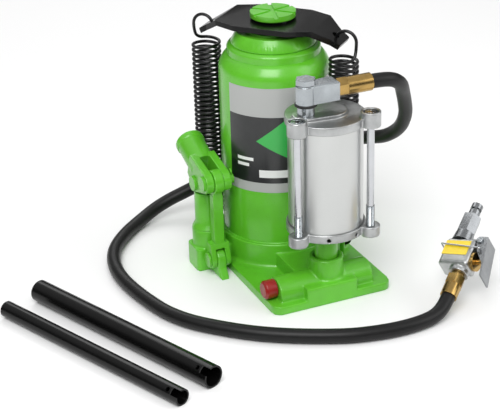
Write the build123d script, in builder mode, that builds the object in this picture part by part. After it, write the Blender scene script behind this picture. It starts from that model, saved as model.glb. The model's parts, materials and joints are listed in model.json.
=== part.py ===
from build123d import *

import math
import os

# Air-hydraulic bottle jack with a hand pump, an air motor, two return springs and its air line.
# Millimetres. The origin is on the floor, on the axis of the ram. +Z is up, -Y is the front.

# Fits
fixed_gap = 0.1  # between pieces that are fixed to each other, on the radius
running_gap = 0.05  # between a shaft and its bore, on the radius
free_gap = 0.3  # between pieces that only pass or rest near each other

# Base casting
base_width = 132.0
base_front = 136.8
base_back = 66.0
base_thick = 9.0
base_corner = 10.0
collar_top = 34.8
collar_floor = 20.0
web_left = 27.0
web_right = 29.0
web_top = 25.0
front_block_left = 30.0
front_block_right = 26.0
front_block_back = 120.0
front_block_top = 22.0

# Release valve and the arched boss that holds it
arch_radius = 16.0
arch_centre_z = 14.0
arch_centre_y = -112.5
arch_left = -55.0
arch_right = 48.0
release_z = 19.0
release_y = -112.0
spindle_radius = 5.0
spindle_depth = 26.0
knob_radius = 9.7
knob_length = 13.2
knob_socket_share = 0.7  # of the knob's length that the spindle goes into
knob_chamfer = 2.1
relief_radius = 7.0
relief_depth = 10.0

# Reservoir and cap
tube_radius = 57.3
tube_wall = 3.0
tube_seat_depth = 6.0
collar_wall = 3.9
collar_radius = tube_radius + collar_wall
shoulder_start = 215.0
neck_base = 227.5
neck_base_radius = 49.6
neck_ring_radius = 48.3
neck_ring_top = 234.5
neck_top = 238.0
neck_top_radius = 45.6
neck_bore = 42.0
nut_radius = 44.0
nut_rim_top = 239.5
nut_top = 251.0
nut_top_radius = 38.0
nut_skirt = 18.5
nut_ring_radius = 30.0
nut_ring_height = 2.0
wiper_radius = 27.0
wiper_height = 5.0
label_bottom = 93.0
label_top = 207.0
label_thick = 0.25
label_start = 193.0
label_sweep = 175.0
plug_radius = 6.0
plug_cap_radius = 9.0
plug_angle = 40.0
plug_height = 196.0
plug_stem_rise = 1.5
plug_cap_start = 1.0
plug_cap_height = 3.0

# Lift cylinder and ram
lift_radius = 32.0
lift_bore = 24.0
lift_seat = 14.0
lift_top = 232.0
ram_radius = 22.5
ram_bottom = 20.2
ram_shoulder = 256.5
ram_neck_radius = 18.0
ram_neck_height = 6.5
piston_height = 14.0
piston_relief = 0.6
ram_seal_height = 6.0
ram_seal_depth = 3.6

# Extension screw and saddle
screw_radius = 15.0
screw_length = 100.0
screw_spigot_radius = 9.0
screw_spigot_height = 4.5
stop_ring_radius = 13.0
stop_ring_wire = 2.4
saddle_radius = 23.4
saddle_height = 6.5
saddle_gap = 0.5
saddle_groove = 4.0
saddle_groove_depth = 1.8
saddle_groove_turns = (-46.0, 14.0, 74.0)
saddle_chamfer = 1.2

# Spring bar and return springs
spring_heading = math.degrees(math.atan2(-0.743, 0.669))
bar_thick = 5.5
bar_flat = 52.0
bar_drop = 16.0
bar_widths = ((0.0, 37.0), (28.0, 37.0), (52.0, 27.0), (68.0, 16.0), (79.0, 13.0))
hook_hole_radius = 4.0
coil_radius = 13.85
spring_room = 5.35  # between the reservoir and a coil's middle line
spring_reach = tube_radius + spring_room + coil_radius
hook_hole_reach = spring_reach - 8.0
bar_end = spring_reach + 1.5
spring_wire = 3.3
coil_pitch = 5.2
coil_bottom = 38.0
coil_turns = 37
lower_hook_radius = 7.0
upper_hook_radius = 11.0
upper_hook_shift = 2.5
upper_hook_z = 246.0
ear_thick = 5.0
ear_width = 14.0
ear_hole_z = 20.0
ear_hole_radius = 3.2

# Hand pump
pump_room = 21.9  # between the reservoir and the pump's axis
pump_x = -(tube_radius + pump_room)
pump_y = 2.3
pump_block_left = -98.0
pump_block_half = 15.0
pump_block_top = 25.0
pump_boss_radius = 17.0
pump_boss_top = 45.0
pump_cylinder_radius = 13.3
pump_cylinder_top = 86.0
pump_shoulder = 7.0
pump_spigot_radius = 12.0
pump_spigot_depth = 17.0
plunger_radius = 7.0
plunger_core_radius = 4.9
plunger_bottom = 36.0
gland_radius = 10.0
gland_height = 5.0
ball_radius = 4.0
ball_pocket_radius = 5.0
ball_floor = 15.0

# Pump link
lower_pin_y = -23.5
lower_pin_z = 18.0
upper_pin_z = 106.0
link_pin_radius = 5.0
lug_thick = 9.5
lug_radius = 11.0
lug_foot = -41.0
fork_slot = 10.0
fork_width = 21.0
fork_radius = 9.5
fork_shoulder = 20.0
fork_crown = 37.0
fork_slot_top = 31.0
link_width = 11.0
link_depth = 10.0
tongue_radius = 12.5
tongue_thick = 9.8
link_neck_gap = 4.0

# Handle socket
socket_tilt = 21.0
arm_reach = 25.8
arm_drop = 9.4
socket_axis_rise = 11.2
socket_slot = 10.8
socket_width = 27.5
ear_radius_link = 11.0
ear_radius_plunger = 9.5
socket_radius = 14.5
socket_ear_height = 25.0
socket_lip_radius = 15.5
socket_lip_length = 6.0
socket_bore = 11.75
socket_mouth = 50.8
socket_start = 8.5
socket_bore_depth = 33.8
slot_end = 11.5
plunger_eye_radius = 9.0
plunger_eye_bore = 6.3
plunger_eye_neck = 14.5
pin_head_radius = 8.0
pin_head_height = 2.5
pin_tail = 5.0
lower_pin_tail = 2.0
cotter_radius = 1.3
cotter_length = 16.0
cotter_eye_radius = 3.0
cotter_eye_half = 0.9

# Air motor
motor_x = 1.9
motor_y = -113.5
motor_boss_radius = 17.5
motor_boss_top = 44.8
motor_recess_radius = 12.5
motor_recess_depth = 4.8
sleeve_radius = 11.7
sleeve_spigot_radius = 9.0
sleeve_spigot_depth = 9.0
head_bottom = 75.6
barrel_bottom = 84.5
barrel_top = 190.0
barrel_radius = 37.4
barrel_wall = 2.9
barrel_groove = 2.0
head_radius = 40.0
rod_circle = 45.8
rod_angles = (-152.3, -42.6, 82.5)
rod_radius = 3.7
rod_lug_radius = 10.0
bottom_lug_z = 73.5
top_flange_top = 199.0
top_lug_top = 206.0
top_pad_top = 203.0
nut_pocket_depth = 6.0
nut_pocket_radius = 7.6
rod_nut_flats = 12.0
rod_nut_height = 5.0
vent_radius = 2.0
vent_angles = (-112, -66)
gasket_thick = 1.0
air_piston_bottom = 174.0
air_piston_height = 12.0
air_seal_depth = 4.0
air_rod_radius = 4.0
air_rod_bottom = 64.0
air_spring_radius = 14.0
air_spring_wall = 3.0

# Swivel on top of the air motor
swivel_x = -20.5
swivel_y = -117.0
swivel_pad_radius = 14.0
swivel_pad_far_radius = 20.0
swivel_pad_far_x = 4.0
stem_radius = 8.6
stem_top = 212.0
swivel_bolt_radius = 5.0
washer_radius = 11.0
washer_top = 214.4
swivel_top = 234.0
swivel_half = 9.0
swivel_reach = 32.5
swivel_end_radius = 10.0
swivel_edge = 1.5
swivel_port_radius = 5.5
bolt_head_flats = 18.0
bolt_head_height = 5.5
fitting_hex_flats = 17.0
fitting_hex_length = 10.0
fitting_spigot_length = 6.0
ferrule_radius = 9.0

# Air hose, a list of the points that its middle line turns at
hose_radius = 7.3
hose_points = [
    (49, -117, 224),
    (70, -117, 224),
    (88, -109, 213),
    (99, -93, 197),
    (109, -80, 179),
    (118, -67, 159),
    (123, -47, 135),
    (119, -22, 116.5),
    (112.5, 3, 107.5),
    (100, 30, 98),
    (80, 56, 87),
    (56, 77, 77),
    (-9, 110, 52),
    (-48, 122.5, 32),
    (-85, 128, 18),
    (-116, 116.5, 8),
    (-145, 91, 7.6),
    (-170, 56.5, 7.6),
    (-181, 10.5, 7.6),
    (-176.5, -43.5, 7.6),
    (-160.5, -107, 7.6),
    (-119.5, -153.5, 7.6),
    (-82.5, -183, 7.6),
    (-28, -212, 7.6),
    (6, -220.5, 7.6),
    (32, -223, 7.6),
    (52.5, -221.5, 7.6),
    (69, -218, 8.2),
    (81.8, -212.6, 12.6),
    (91, -205.5, 18.5),
]
hose_share = 0.45

# Inlet valve at the end of the hose; u is across it, w along it, v out of its face
valve_roll = 14.0
valve_sleeve_radius = 8.6
valve_sleeve_length = 14.0
valve_hex_length = 10.0
valve_hex_flats = 17.0
valve_port_start = 28.0
valve_port_radius = 10.5
valve_port_depth = 6.0
valve_neck_radius = 6.5
body_left = -21.0
body_right = 12.0
body_start = 33.0
body_end = 66.0
body_back = -11.0
body_face = 12.5
body_round = 4.0
body_corner = 2.0
body_lug_radius = 3.6
body_lug_half = 8.0
cartridge_w = 45.5
cartridge_radius = 10.0
cartridge_height = 3.0
cartridge_bore = 6.0
cartridge_depth = 20.0
stem_pin_radius = 3.0
nipple_u = -9.0
nipple_v = 4.0
nipple_collar_radius = 9.5
nipple_foot_radius = 10.5
nipple_collar = 11.0
nipple_hex_flats = 17.5
nipple_hex = 22.0
nipple_plug_radius = 6.0
nipple_plug = 16.0
nipple_groove = 3.0
nipple_groove_start = 7.2
nipple_groove_radius = 4.6
nipple_spigot = 8.0
nipple_bore = 3.2
sticker_left = -20.0
sticker_right = 8.0
sticker_start = 44.0
sticker_end = 61.5
sticker_thick = 0.3
lever_pin_u = 15.5
lever_pin_w = 65.0
lever_pin_radius = 1.8
lever_pin_head = 3.6
lever_pin_head_height = 1.8
lever_thick = 1.8
lever_half = 10.1
lever_back = ((22.5, 70.0), (25.5, 55.0), (32.1, 21.5))
lever_cheek = ((13.0, 70.0), (12.4, 62.0), (17.6, 49.5), (28.0, 36.0))
bail_pivot = (20.5, 52.5)
bail_left = (-24.0, 56.0)
bail_wire_radius = 0.9
bail_gap = 0.5
bail_bend_radius = 1.35

# Loose handle tubes
lower_tube_radius = 11.3
lower_tube_wall = 1.8
lower_tube_near = (-171.7, -229.0)
lower_tube_far = (-266.4, 4.6)
upper_tube_radius = 8.3
upper_tube_wall = 1.6
upper_tube_near = (-208.9, -244.4)
upper_tube_far = (-306.3, -12.1)
tube_turn = -42.0  # of the notch and hole, from straight up
tube_notch = 7.5
tube_notch_length = 9.0
tube_hole_radius = 2.2
tube_hole_reach = 13.0

os.makedirs("parts", exist_ok=True)


def save(piece: BuildPart, name: str) -> None:
    """Label a finished piece and write it to its STEP file."""
    piece.part.label = name
    export_step(piece.part, f"parts/{name}.step")


def upright(x: float, y: float, z: float) -> Plane:
    """A level plane with its origin at a point."""
    return Plane(origin=(x, y, z))


# ---------------------------------------------------------------- spring directions
spring_way = Vector(1, 0, 0).rotate(Axis.Z, spring_heading)
spring_cross = Vector(0, 0, 1).cross(spring_way)


def spring_point(side: int, out: float, across: float, z: float) -> Vector:
    """A point at a reach out of the ram's axis, on one side of the jack."""
    return spring_way * (side * out) + spring_cross * (side * across) + Vector(0, 0, z)


# ---------------------------------------------------------------- base casting
tube_seat = collar_top - tube_seat_depth
lift_socket = lift_radius + fixed_gap
sleeve_seat = motor_boss_top - motor_recess_depth
spigot_floor = pump_boss_top - pump_spigot_depth

with BuildPart() as base_casting:
    with BuildSketch():
        with Locations((0, (base_back - base_front) / 2)):
            RectangleRounded(base_width, base_front + base_back, base_corner)
    extrude(amount=base_thick)
    with BuildSketch():
        Circle(collar_radius)
    extrude(amount=collar_top)
    # Web between the collar and the air motor's boss
    with BuildSketch():
        with Locations(((web_right - web_left) / 2, motor_y / 2)):
            Rectangle(web_left + web_right, -motor_y)
    extrude(amount=web_top)
    # Front block
    with BuildSketch():
        with Locations(
            (
                (front_block_right - front_block_left) / 2,
                -(base_front + front_block_back) / 2,
            )
        ):
            Rectangle(
                front_block_left + front_block_right, base_front - front_block_back
            )
    extrude(amount=front_block_top)
    # Arched boss across the front
    with BuildSketch(Plane.YZ.offset(arch_left)):
        with Locations((arch_centre_y, arch_centre_z)):
            Circle(arch_radius)
        with Locations((arch_centre_y, arch_centre_z / 2)):
            Rectangle(2 * arch_radius, arch_centre_z)
        with Locations((arch_centre_y, -arch_radius)):
            Rectangle(2 * arch_radius, 2 * arch_radius, mode=Mode.SUBTRACT)
    extrude(amount=arch_right - arch_left)
    # Upright boss under the air motor
    with BuildSketch(upright(motor_x, motor_y, 0)):
        Circle(motor_boss_radius)
    extrude(amount=motor_boss_top)
    # Block and boss under the hand pump
    with BuildSketch():
        with Locations((pump_block_left / 2, pump_y)):
            RectangleRounded(-pump_block_left, 2 * pump_block_half, 4)
    extrude(amount=pump_block_top)
    with BuildSketch(upright(pump_x, pump_y, 0)):
        Circle(pump_boss_radius)
    extrude(amount=pump_boss_top)
    # Lug that carries the link
    with BuildSketch(Plane.YZ.offset(pump_x)):
        with BuildLine():
            Polyline(
                (pump_y, 0),
                (lug_foot, 0),
                (lower_pin_y - lug_radius, lower_pin_z * 0.6),
                (lower_pin_y - lug_radius, lower_pin_z),
                (lower_pin_y, lower_pin_z + lug_radius),
                (pump_y, pump_block_top),
                close=True,
            )
        make_face()
        with Locations((lower_pin_y, lower_pin_z)):
            Circle(lug_radius)
    extrude(amount=lug_thick / 2, both=True)
    # Ears for the return springs
    for side in (1, -1):
        ear_plane = Plane(
            origin=spring_point(side, spring_reach, 0, 0),
            x_dir=spring_cross * side,
            z_dir=spring_way * side,
        )
        with BuildSketch(ear_plane):
            with Locations((0, ear_hole_z / 2)):
                Rectangle(ear_width, ear_hole_z)
            with Locations((0, ear_hole_z)):
                Circle(ear_width / 2)
                Circle(ear_hole_radius, mode=Mode.SUBTRACT)
        extrude(amount=ear_thick / 2, both=True)
    # Oil space, tube seat and lift cylinder seat
    with BuildSketch(Plane.XY.offset(collar_floor)):
        Circle(tube_radius - tube_wall)
    extrude(amount=collar_top, mode=Mode.SUBTRACT)
    with BuildSketch(Plane.XY.offset(tube_seat)):
        Circle(tube_radius + fixed_gap)
    extrude(amount=collar_top, mode=Mode.SUBTRACT)
    with BuildSketch(Plane.XY.offset(lift_seat)):
        Circle(lift_socket)
    extrude(amount=collar_top, mode=Mode.SUBTRACT)
    # Pump socket and its ball pocket
    with BuildSketch(upright(pump_x, pump_y, spigot_floor)):
        Circle(pump_spigot_radius + fixed_gap)
    extrude(amount=pump_boss_top, mode=Mode.SUBTRACT)
    with BuildSketch(upright(pump_x, pump_y, ball_floor)):
        Circle(ball_pocket_radius)
    extrude(amount=pump_boss_top, mode=Mode.SUBTRACT)
    # Seat of the air motor's sleeve and its ball pocket
    with BuildSketch(upright(motor_x, motor_y, sleeve_seat)):
        Circle(motor_recess_radius)
    extrude(amount=motor_boss_top, mode=Mode.SUBTRACT)
    with BuildSketch(upright(motor_x, motor_y, sleeve_seat - sleeve_spigot_depth)):
        Circle(sleeve_spigot_radius + fixed_gap)
    extrude(amount=motor_boss_top, mode=Mode.SUBTRACT)
    with BuildSketch(upright(motor_x, motor_y, ball_floor)):
        Circle(ball_pocket_radius)
    extrude(amount=motor_boss_top, mode=Mode.SUBTRACT)
    # Release spindle bore, relief plug bore and lower pin bore
    with BuildSketch(Plane.YZ.offset(arch_left)):
        with Locations((release_y, release_z)):
            Circle(spindle_radius + running_gap)
    extrude(amount=spindle_depth + free_gap, mode=Mode.SUBTRACT)
    with BuildSketch(Plane.YZ.offset(arch_right)):
        with Locations((release_y, release_z)):
            Circle(relief_radius + fixed_gap)
    extrude(amount=-relief_depth, mode=Mode.SUBTRACT)
    with BuildSketch(Plane.YZ.offset(pump_x)):
        with Locations((lower_pin_y, lower_pin_z)):
            Circle(link_pin_radius + running_gap)
    extrude(amount=lug_thick, both=True, mode=Mode.SUBTRACT)
save(base_casting, "base_casting")

with BuildPart() as check_valve_balls:
    with Locations(
        (pump_x, pump_y, ball_floor + ball_radius),
        (motor_x, motor_y, ball_floor + ball_radius),
    ):
        Sphere(ball_radius)
save(check_valve_balls, "check_valve_balls")

with BuildPart() as relief_plug:
    with BuildSketch(Plane.YZ.offset(arch_right)):
        with Locations((release_y, release_z)):
            Circle(relief_radius)
    extrude(amount=-relief_depth)
    with BuildSketch(Plane.YZ.offset(arch_right)):
        with Locations((release_y, release_z)):
            RegularPolygon(relief_radius / 2, 6)
    extrude(amount=-relief_depth / 2, mode=Mode.SUBTRACT)
save(relief_plug, "relief_plug")

# ---------------------------------------------------------------- release valve
with BuildPart() as release_spindle:
    with BuildSketch(Plane.YZ.offset(arch_left + spindle_depth)):
        with Locations((release_y, release_z)):
            Circle(spindle_radius)
    extrude(amount=-(spindle_depth + knob_length * knob_socket_share))
save(release_spindle, "release_spindle")

with BuildPart() as release_knob:
    with BuildSketch(Plane.YZ.offset(arch_left - free_gap)):
        with Locations((release_y, release_z)):
            Circle(knob_radius)
    extrude(amount=-knob_length)
    chamfer(release_knob.faces().sort_by(Axis.X)[0].edges(), knob_chamfer)
    with BuildSketch(Plane.YZ.offset(arch_left)):
        with Locations((release_y, release_z)):
            Circle(spindle_radius + fixed_gap)
    extrude(amount=-knob_length * knob_socket_share, mode=Mode.SUBTRACT)
save(release_knob, "release_knob")

# ---------------------------------------------------------------- reservoir and cap
tube_bore = tube_radius - tube_wall
plug_way = Vector(1, 0, 0).rotate(Axis.Z, plug_angle)
plug_plane = Plane(origin=plug_way * tube_radius + Vector(0, 0, plug_height), z_dir=plug_way)

with BuildPart() as reservoir_tube:
    with BuildSketch(Plane.XZ):
        with BuildLine():
            Polyline(
                (neck_bore, neck_top),
                (neck_bore, nut_rim_top - nut_skirt),
                (tube_bore, shoulder_start - tube_wall),
                (tube_bore, tube_seat),
                (tube_radius, tube_seat),
                (tube_radius, shoulder_start),
            )
            TangentArc(
                (tube_radius, shoulder_start),
                (neck_base_radius, neck_base),
                tangent=(0, 1),
            )
            Polyline(
                (neck_base_radius, neck_base),
                (neck_ring_radius, neck_base),
                (neck_ring_radius, neck_ring_top),
                (neck_top_radius, neck_top),
                (neck_bore, neck_top),
            )
        make_face()
    revolve(axis=Axis.Z)
    with BuildSketch(plug_plane):
        Circle(plug_radius + fixed_gap)
    extrude(amount=-4 * tube_wall, mode=Mode.SUBTRACT)
save(reservoir_tube, "reservoir_tube")

with BuildPart() as filler_plug:
    with BuildSketch(plug_plane.offset(-tube_wall)):
        Circle(plug_radius)
    extrude(amount=tube_wall + plug_stem_rise)
    with BuildSketch(plug_plane.offset(plug_cap_start)):
        Circle(plug_cap_radius)
    extrude(amount=plug_cap_height)
save(filler_plug, "filler_plug")

with BuildPart() as label_sleeve:
    with BuildSketch(Plane.XY.offset(label_bottom)):
        Circle(tube_radius + running_gap + label_thick)
        Circle(tube_radius + running_gap, mode=Mode.SUBTRACT)
        with BuildLine():
            Line((0, 0), Vector(2 * tube_radius, 0).rotate(Axis.Z, label_start + label_sweep))
            Line((0, 0), Vector(2 * tube_radius, 0).rotate(Axis.Z, label_start))
            CenterArc((0, 0), 2 * tube_radius, label_start + label_sweep, 360 - label_sweep)
        make_face(mode=Mode.SUBTRACT)
    extrude(amount=label_top - label_bottom)
save(label_sleeve, "label_sleeve")

ram_bore = ram_radius + running_gap
nut_bottom = nut_rim_top - nut_skirt
with BuildPart() as top_nut:
    with BuildSketch(Plane.XZ):
        with BuildLine():
            Polyline(
                (ram_bore, nut_bottom),
                (neck_bore - fixed_gap, nut_bottom),
                (neck_bore - fixed_gap, neck_top),
                (nut_radius, neck_top),
                (nut_radius, nut_rim_top),
                (nut_top_radius, nut_top),
                (nut_ring_radius, nut_top),
                (nut_ring_radius, nut_top + nut_ring_height),
                (ram_bore, nut_top + nut_ring_height),
                close=True,
            )
        make_face()
    revolve(axis=Axis.Z)
    with BuildSketch(Plane.XY.offset(nut_top + nut_ring_height)):
        Circle(wiper_radius)
    extrude(amount=-wiper_height, mode=Mode.SUBTRACT)
    with BuildSketch(Plane.XY.offset(lift_top)):
        Circle(lift_radius + fixed_gap)
    extrude(amount=-lift_top, mode=Mode.SUBTRACT)
save(top_nut, "top_nut")

with BuildPart() as ram_wiper_seal:
    with BuildSketch(Plane.XY.offset(nut_top + nut_ring_height - wiper_height)):
        Circle(wiper_radius - fixed_gap)
        Circle(ram_bore, mode=Mode.SUBTRACT)
    extrude(amount=wiper_height)
save(ram_wiper_seal, "ram_wiper_seal")

with BuildPart() as lift_cylinder:
    with BuildSketch(Plane.XY.offset(lift_seat)):
        Circle(lift_radius)
    extrude(amount=lift_top - lift_seat)
    with BuildSketch(Plane.XY.offset(lift_seat + ram_seal_height)):
        Circle(lift_bore)
    extrude(amount=lift_top, mode=Mode.SUBTRACT)
save(lift_cylinder, "lift_cylinder")

# ---------------------------------------------------------------- ram, screw and saddle
ram_top = ram_shoulder + ram_neck_height
seal_groove = ram_bottom + (piston_height - ram_seal_height) / 2
seal_core = lift_bore - ram_seal_depth
screw_top = ram_top + saddle_gap
screw_bottom = screw_top - screw_length

with BuildPart() as ram:
    with BuildSketch(Plane.XY.offset(ram_bottom)):
        Circle(lift_bore - piston_relief)
    extrude(amount=piston_height)
    with BuildSketch(Plane.XY.offset(ram_bottom)):
        Circle(ram_radius)
    extrude(amount=ram_shoulder - ram_bottom)
    with BuildSketch(Plane.XY.offset(ram_shoulder)):
        Circle(ram_neck_radius)
    extrude(amount=ram_neck_height)
    with BuildSketch(Plane.XY.offset(seal_groove)):
        Circle(lift_bore)
        Circle(seal_core, mode=Mode.SUBTRACT)
    extrude(amount=ram_seal_height, mode=Mode.SUBTRACT)
    with BuildSketch(Plane.XY.offset(ram_top)):
        Circle(screw_radius + running_gap)
    extrude(amount=-(screw_length + screw_radius), mode=Mode.SUBTRACT)
save(ram, "ram")

with BuildPart() as ram_piston_seal:
    with BuildSketch(Plane.XY.offset(seal_groove)):
        Circle(lift_bore - running_gap)
        Circle(seal_core, mode=Mode.SUBTRACT)
    extrude(amount=ram_seal_height)
save(ram_piston_seal, "ram_piston_seal")

with BuildPart() as screw_stop_ring:
    with BuildSketch(Plane.XY.offset(screw_bottom + stop_ring_wire)):
        Circle(screw_radius - running_gap)
        Circle(stop_ring_radius, mode=Mode.SUBTRACT)
        with Locations((screw_radius, 0)):
            Rectangle(2 * stop_ring_wire, 2 * stop_ring_wire, mode=Mode.SUBTRACT)
    extrude(amount=stop_ring_wire)
save(screw_stop_ring, "screw_stop_ring")

with BuildPart() as extension_screw:
    with BuildSketch(Plane.XY.offset(screw_bottom)):
        Circle(screw_radius)
    extrude(amount=screw_length)
    with BuildSketch(Plane.XY.offset(screw_top)):
        Circle(screw_spigot_radius)
    extrude(amount=screw_spigot_height)
    with BuildSketch(Plane.XY.offset(screw_bottom + stop_ring_wire - running_gap)):
        Circle(2 * screw_radius)
        Circle(stop_ring_radius - running_gap, mode=Mode.SUBTRACT)
    extrude(amount=stop_ring_wire + 2 * running_gap, mode=Mode.SUBTRACT)
save(extension_screw, "extension_screw")

saddle_top = screw_top + saddle_height
with BuildPart() as saddle:
    with BuildSketch(Plane.XY.offset(screw_top)):
        Circle(saddle_radius)
    extrude(amount=saddle_height)
    chamfer(saddle.faces().sort_by(Axis.Z)[0].edges(), saddle_chamfer)
    with BuildSketch(Plane.XY.offset(screw_top)):
        Circle(screw_spigot_radius + fixed_gap)
    extrude(amount=screw_spigot_height, mode=Mode.SUBTRACT)
    with BuildSketch(Plane.XY.offset(saddle_top)):
        for groove_turn in saddle_groove_turns:
            Rectangle(3 * saddle_radius, saddle_groove, rotation=groove_turn)
    extrude(amount=-saddle_groove_depth, mode=Mode.SUBTRACT)
save(saddle, "saddle")

# ---------------------------------------------------------------- spring bar
bar_plane = Plane(origin=(0, 0, 0), x_dir=spring_way, z_dir=(0, 0, 1))
bar_side = Plane(origin=(0, 0, 0), x_dir=spring_way, z_dir=-spring_cross)
bar_top = ram_shoulder + bar_thick
bar_slope = math.atan2(bar_drop, bar_end - bar_flat)
bar_under = bar_thick * math.tan(bar_slope / 2)
tip_shift = bar_thick * math.sin(bar_slope)
tip_drop = bar_thick * math.cos(bar_slope)

with BuildPart() as spring_bar:
    with BuildSketch(bar_side):
        with BuildLine():
            Polyline(
                (0, bar_top),
                (bar_flat, bar_top),
                (bar_end, bar_top - bar_drop),
                (bar_end - tip_shift, bar_top - bar_drop - tip_drop),
                (bar_flat - bar_under, ram_shoulder),
                (0, ram_shoulder),
                close=True,
            )
        make_face()
        mirror(about=Plane.YZ)
    extrude(amount=2 * bar_end, both=True)
    with BuildSketch(bar_plane) as bar_outline:
        with BuildLine():
            Polyline(*bar_widths)
            Polyline(bar_widths[-1], (bar_widths[-1][0], 0), (0, 0), bar_widths[0])
        make_face()
        mirror(about=Plane.YZ)
        mirror(about=Plane.XZ)
        fillet(bar_outline.vertices(), 5)
    extrude(amount=2 * bar_top, mode=Mode.INTERSECT)
    with BuildSketch(Plane.XY.offset(ram_shoulder)):
        Circle(ram_neck_radius + fixed_gap)
    extrude(amount=bar_thick, mode=Mode.SUBTRACT)
    for side in (1, -1):
        hole_z = bar_top - (hook_hole_reach - bar_flat) * math.tan(bar_slope)
        hole_way = spring_way * (side * math.sin(bar_slope)) + Vector(0, 0, math.cos(bar_slope))
        with BuildSketch(Plane(origin=spring_point(side, hook_hole_reach, 0, hole_z), z_dir=hole_way)):
            Circle(hook_hole_radius)
        extrude(amount=2 * bar_thick, both=True, mode=Mode.SUBTRACT)
save(spring_bar, "spring_bar")


# ---------------------------------------------------------------- return springs
def biarc(start: Vector, start_way: Vector, end: Vector, end_way: Vector) -> tuple[Vector, Vector]:
    """Where two tangent arcs from one point and direction to another meet, and the way there."""
    gap = end - start
    both = start_way + end_way
    square = both.dot(both) - 4
    linear = -2 * gap.dot(both)
    reach = gap.dot(gap)
    root = math.sqrt(linear * linear - 4 * square * reach)
    arm = (-linear - root) / (2 * square)
    first = start + start_way * arm
    second = end - end_way * arm
    return (first + second) * 0.5, (second - first).normalized()


def hook_knot(side: int, centre_out: float, centre_z: float, radius: float, angle: float):
    """A point of a hook, which lies in the upright plane through the ram's axis."""
    turn = math.radians(angle)
    out = centre_out + radius * math.cos(turn)
    place = spring_point(side, out, 0, centre_z + radius * math.sin(turn))
    way = spring_point(side, -math.sin(turn), 0, math.cos(turn))
    return place, way


def coil_knot(side: int, angle: float, z: float):
    """A point of the coil, at an angle from the outward direction."""
    out = coil_radius * math.cos(angle)
    across = coil_radius * math.sin(angle)
    rise = coil_pitch / (2 * math.pi)
    place = spring_point(side, spring_reach + out, across, z)
    way = spring_point(side, -across, out, rise).normalized()
    return place, way


coil_first = math.radians(90)
coil_last = math.radians(-50) + 2 * math.pi * coil_turns
coil_steps = 2 * coil_turns
coil_rise = coil_pitch / (2 * math.pi)
upper_hook_out = spring_reach + upper_hook_shift
lower_hook_z = ear_hole_z + lower_hook_radius

for side, spring_name in ((-1, "return_spring_left"), (1, "return_spring_right")):
    knots = []
    for angle in (190, 270, 360):
        knots.append(hook_knot(side, spring_reach, lower_hook_z, lower_hook_radius, angle))
    for step in range(coil_steps + 1):
        turn = coil_first + (coil_last - coil_first) * step / coil_steps
        knots.append(coil_knot(side, turn, coil_bottom + coil_rise * (turn - coil_first)))
    for angle in (0, 90, 162):
        knots.append(hook_knot(side, upper_hook_out, upper_hook_z, upper_hook_radius, angle))
    with BuildPart() as spring:
        with BuildLine() as spring_line:
            Line(knots[0][0] - knots[0][1] * spring_wire, knots[0][0])
            for (start, start_way), (end, end_way) in zip(knots, knots[1:]):
                middle, middle_way = biarc(start, start_way, end, end_way)
                TangentArc(start, middle, tangent=start_way)
                TangentArc(middle, end, tangent=middle_way)
            Line(knots[-1][0], knots[-1][0] + knots[-1][1] * spring_wire)
        route = spring_line.wire()
        with BuildSketch(Plane(origin=route @ 0, z_dir=route % 0)):
            Circle(spring_wire / 2)
        sweep(path=route)
    save(spring, spring_name)
    # The least gap between turns, measured on points along the middle line
    places = [edge @ (part / 8) for edge in spring_line.edges() for part in range(8)]
    skipped = 20
    gaps = [
        (places[late] - places[early]).length - spring_wire
        for early in range(len(places))
        for late in range(early + skipped, min(early + 5 * skipped, len(places)))
    ]
    print(spring_name, "length", round(route.length), "least gap to itself", round(min(gaps), 2))

# ---------------------------------------------------------------- hand pump
plunger_pin_y = pump_y
plunger_pin_z = upper_pin_z - arm_drop
pump_plane = upright(pump_x, pump_y, 0)
link_plane = Plane.YZ.offset(pump_x)

pump_side = Plane(origin=(pump_x, pump_y, 0), x_dir=(1, 0, 0), z_dir=(0, -1, 0))
with BuildPart() as pump_cylinder:
    with BuildSketch(pump_side):
        with BuildLine():
            Polyline(
                (0, spigot_floor),
                (pump_spigot_radius, spigot_floor),
                (pump_spigot_radius, pump_boss_top),
                (pump_boss_radius, pump_boss_top),
                (pump_cylinder_radius, pump_boss_top + pump_shoulder),
                (pump_cylinder_radius, pump_cylinder_top),
                (0, pump_cylinder_top),
                close=True,
            )
        make_face()
    revolve(axis=Axis((pump_x, pump_y, 0), (0, 0, 1)))
    with BuildSketch(pump_plane.offset(spigot_floor)):
        Circle(plunger_radius + running_gap)
    extrude(amount=pump_cylinder_top, mode=Mode.SUBTRACT)
    with BuildSketch(pump_plane.offset(pump_cylinder_top)):
        Circle(gland_radius)
    extrude(amount=-gland_height, mode=Mode.SUBTRACT)
save(pump_cylinder, "pump_cylinder")

with BuildPart() as pump_gland_seal:
    with BuildSketch(pump_plane.offset(pump_cylinder_top - gland_height)):
        Circle(gland_radius - fixed_gap)
        Circle(plunger_radius + running_gap, mode=Mode.SUBTRACT)
    extrude(amount=gland_height)
save(pump_gland_seal, "pump_gland_seal")

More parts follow.
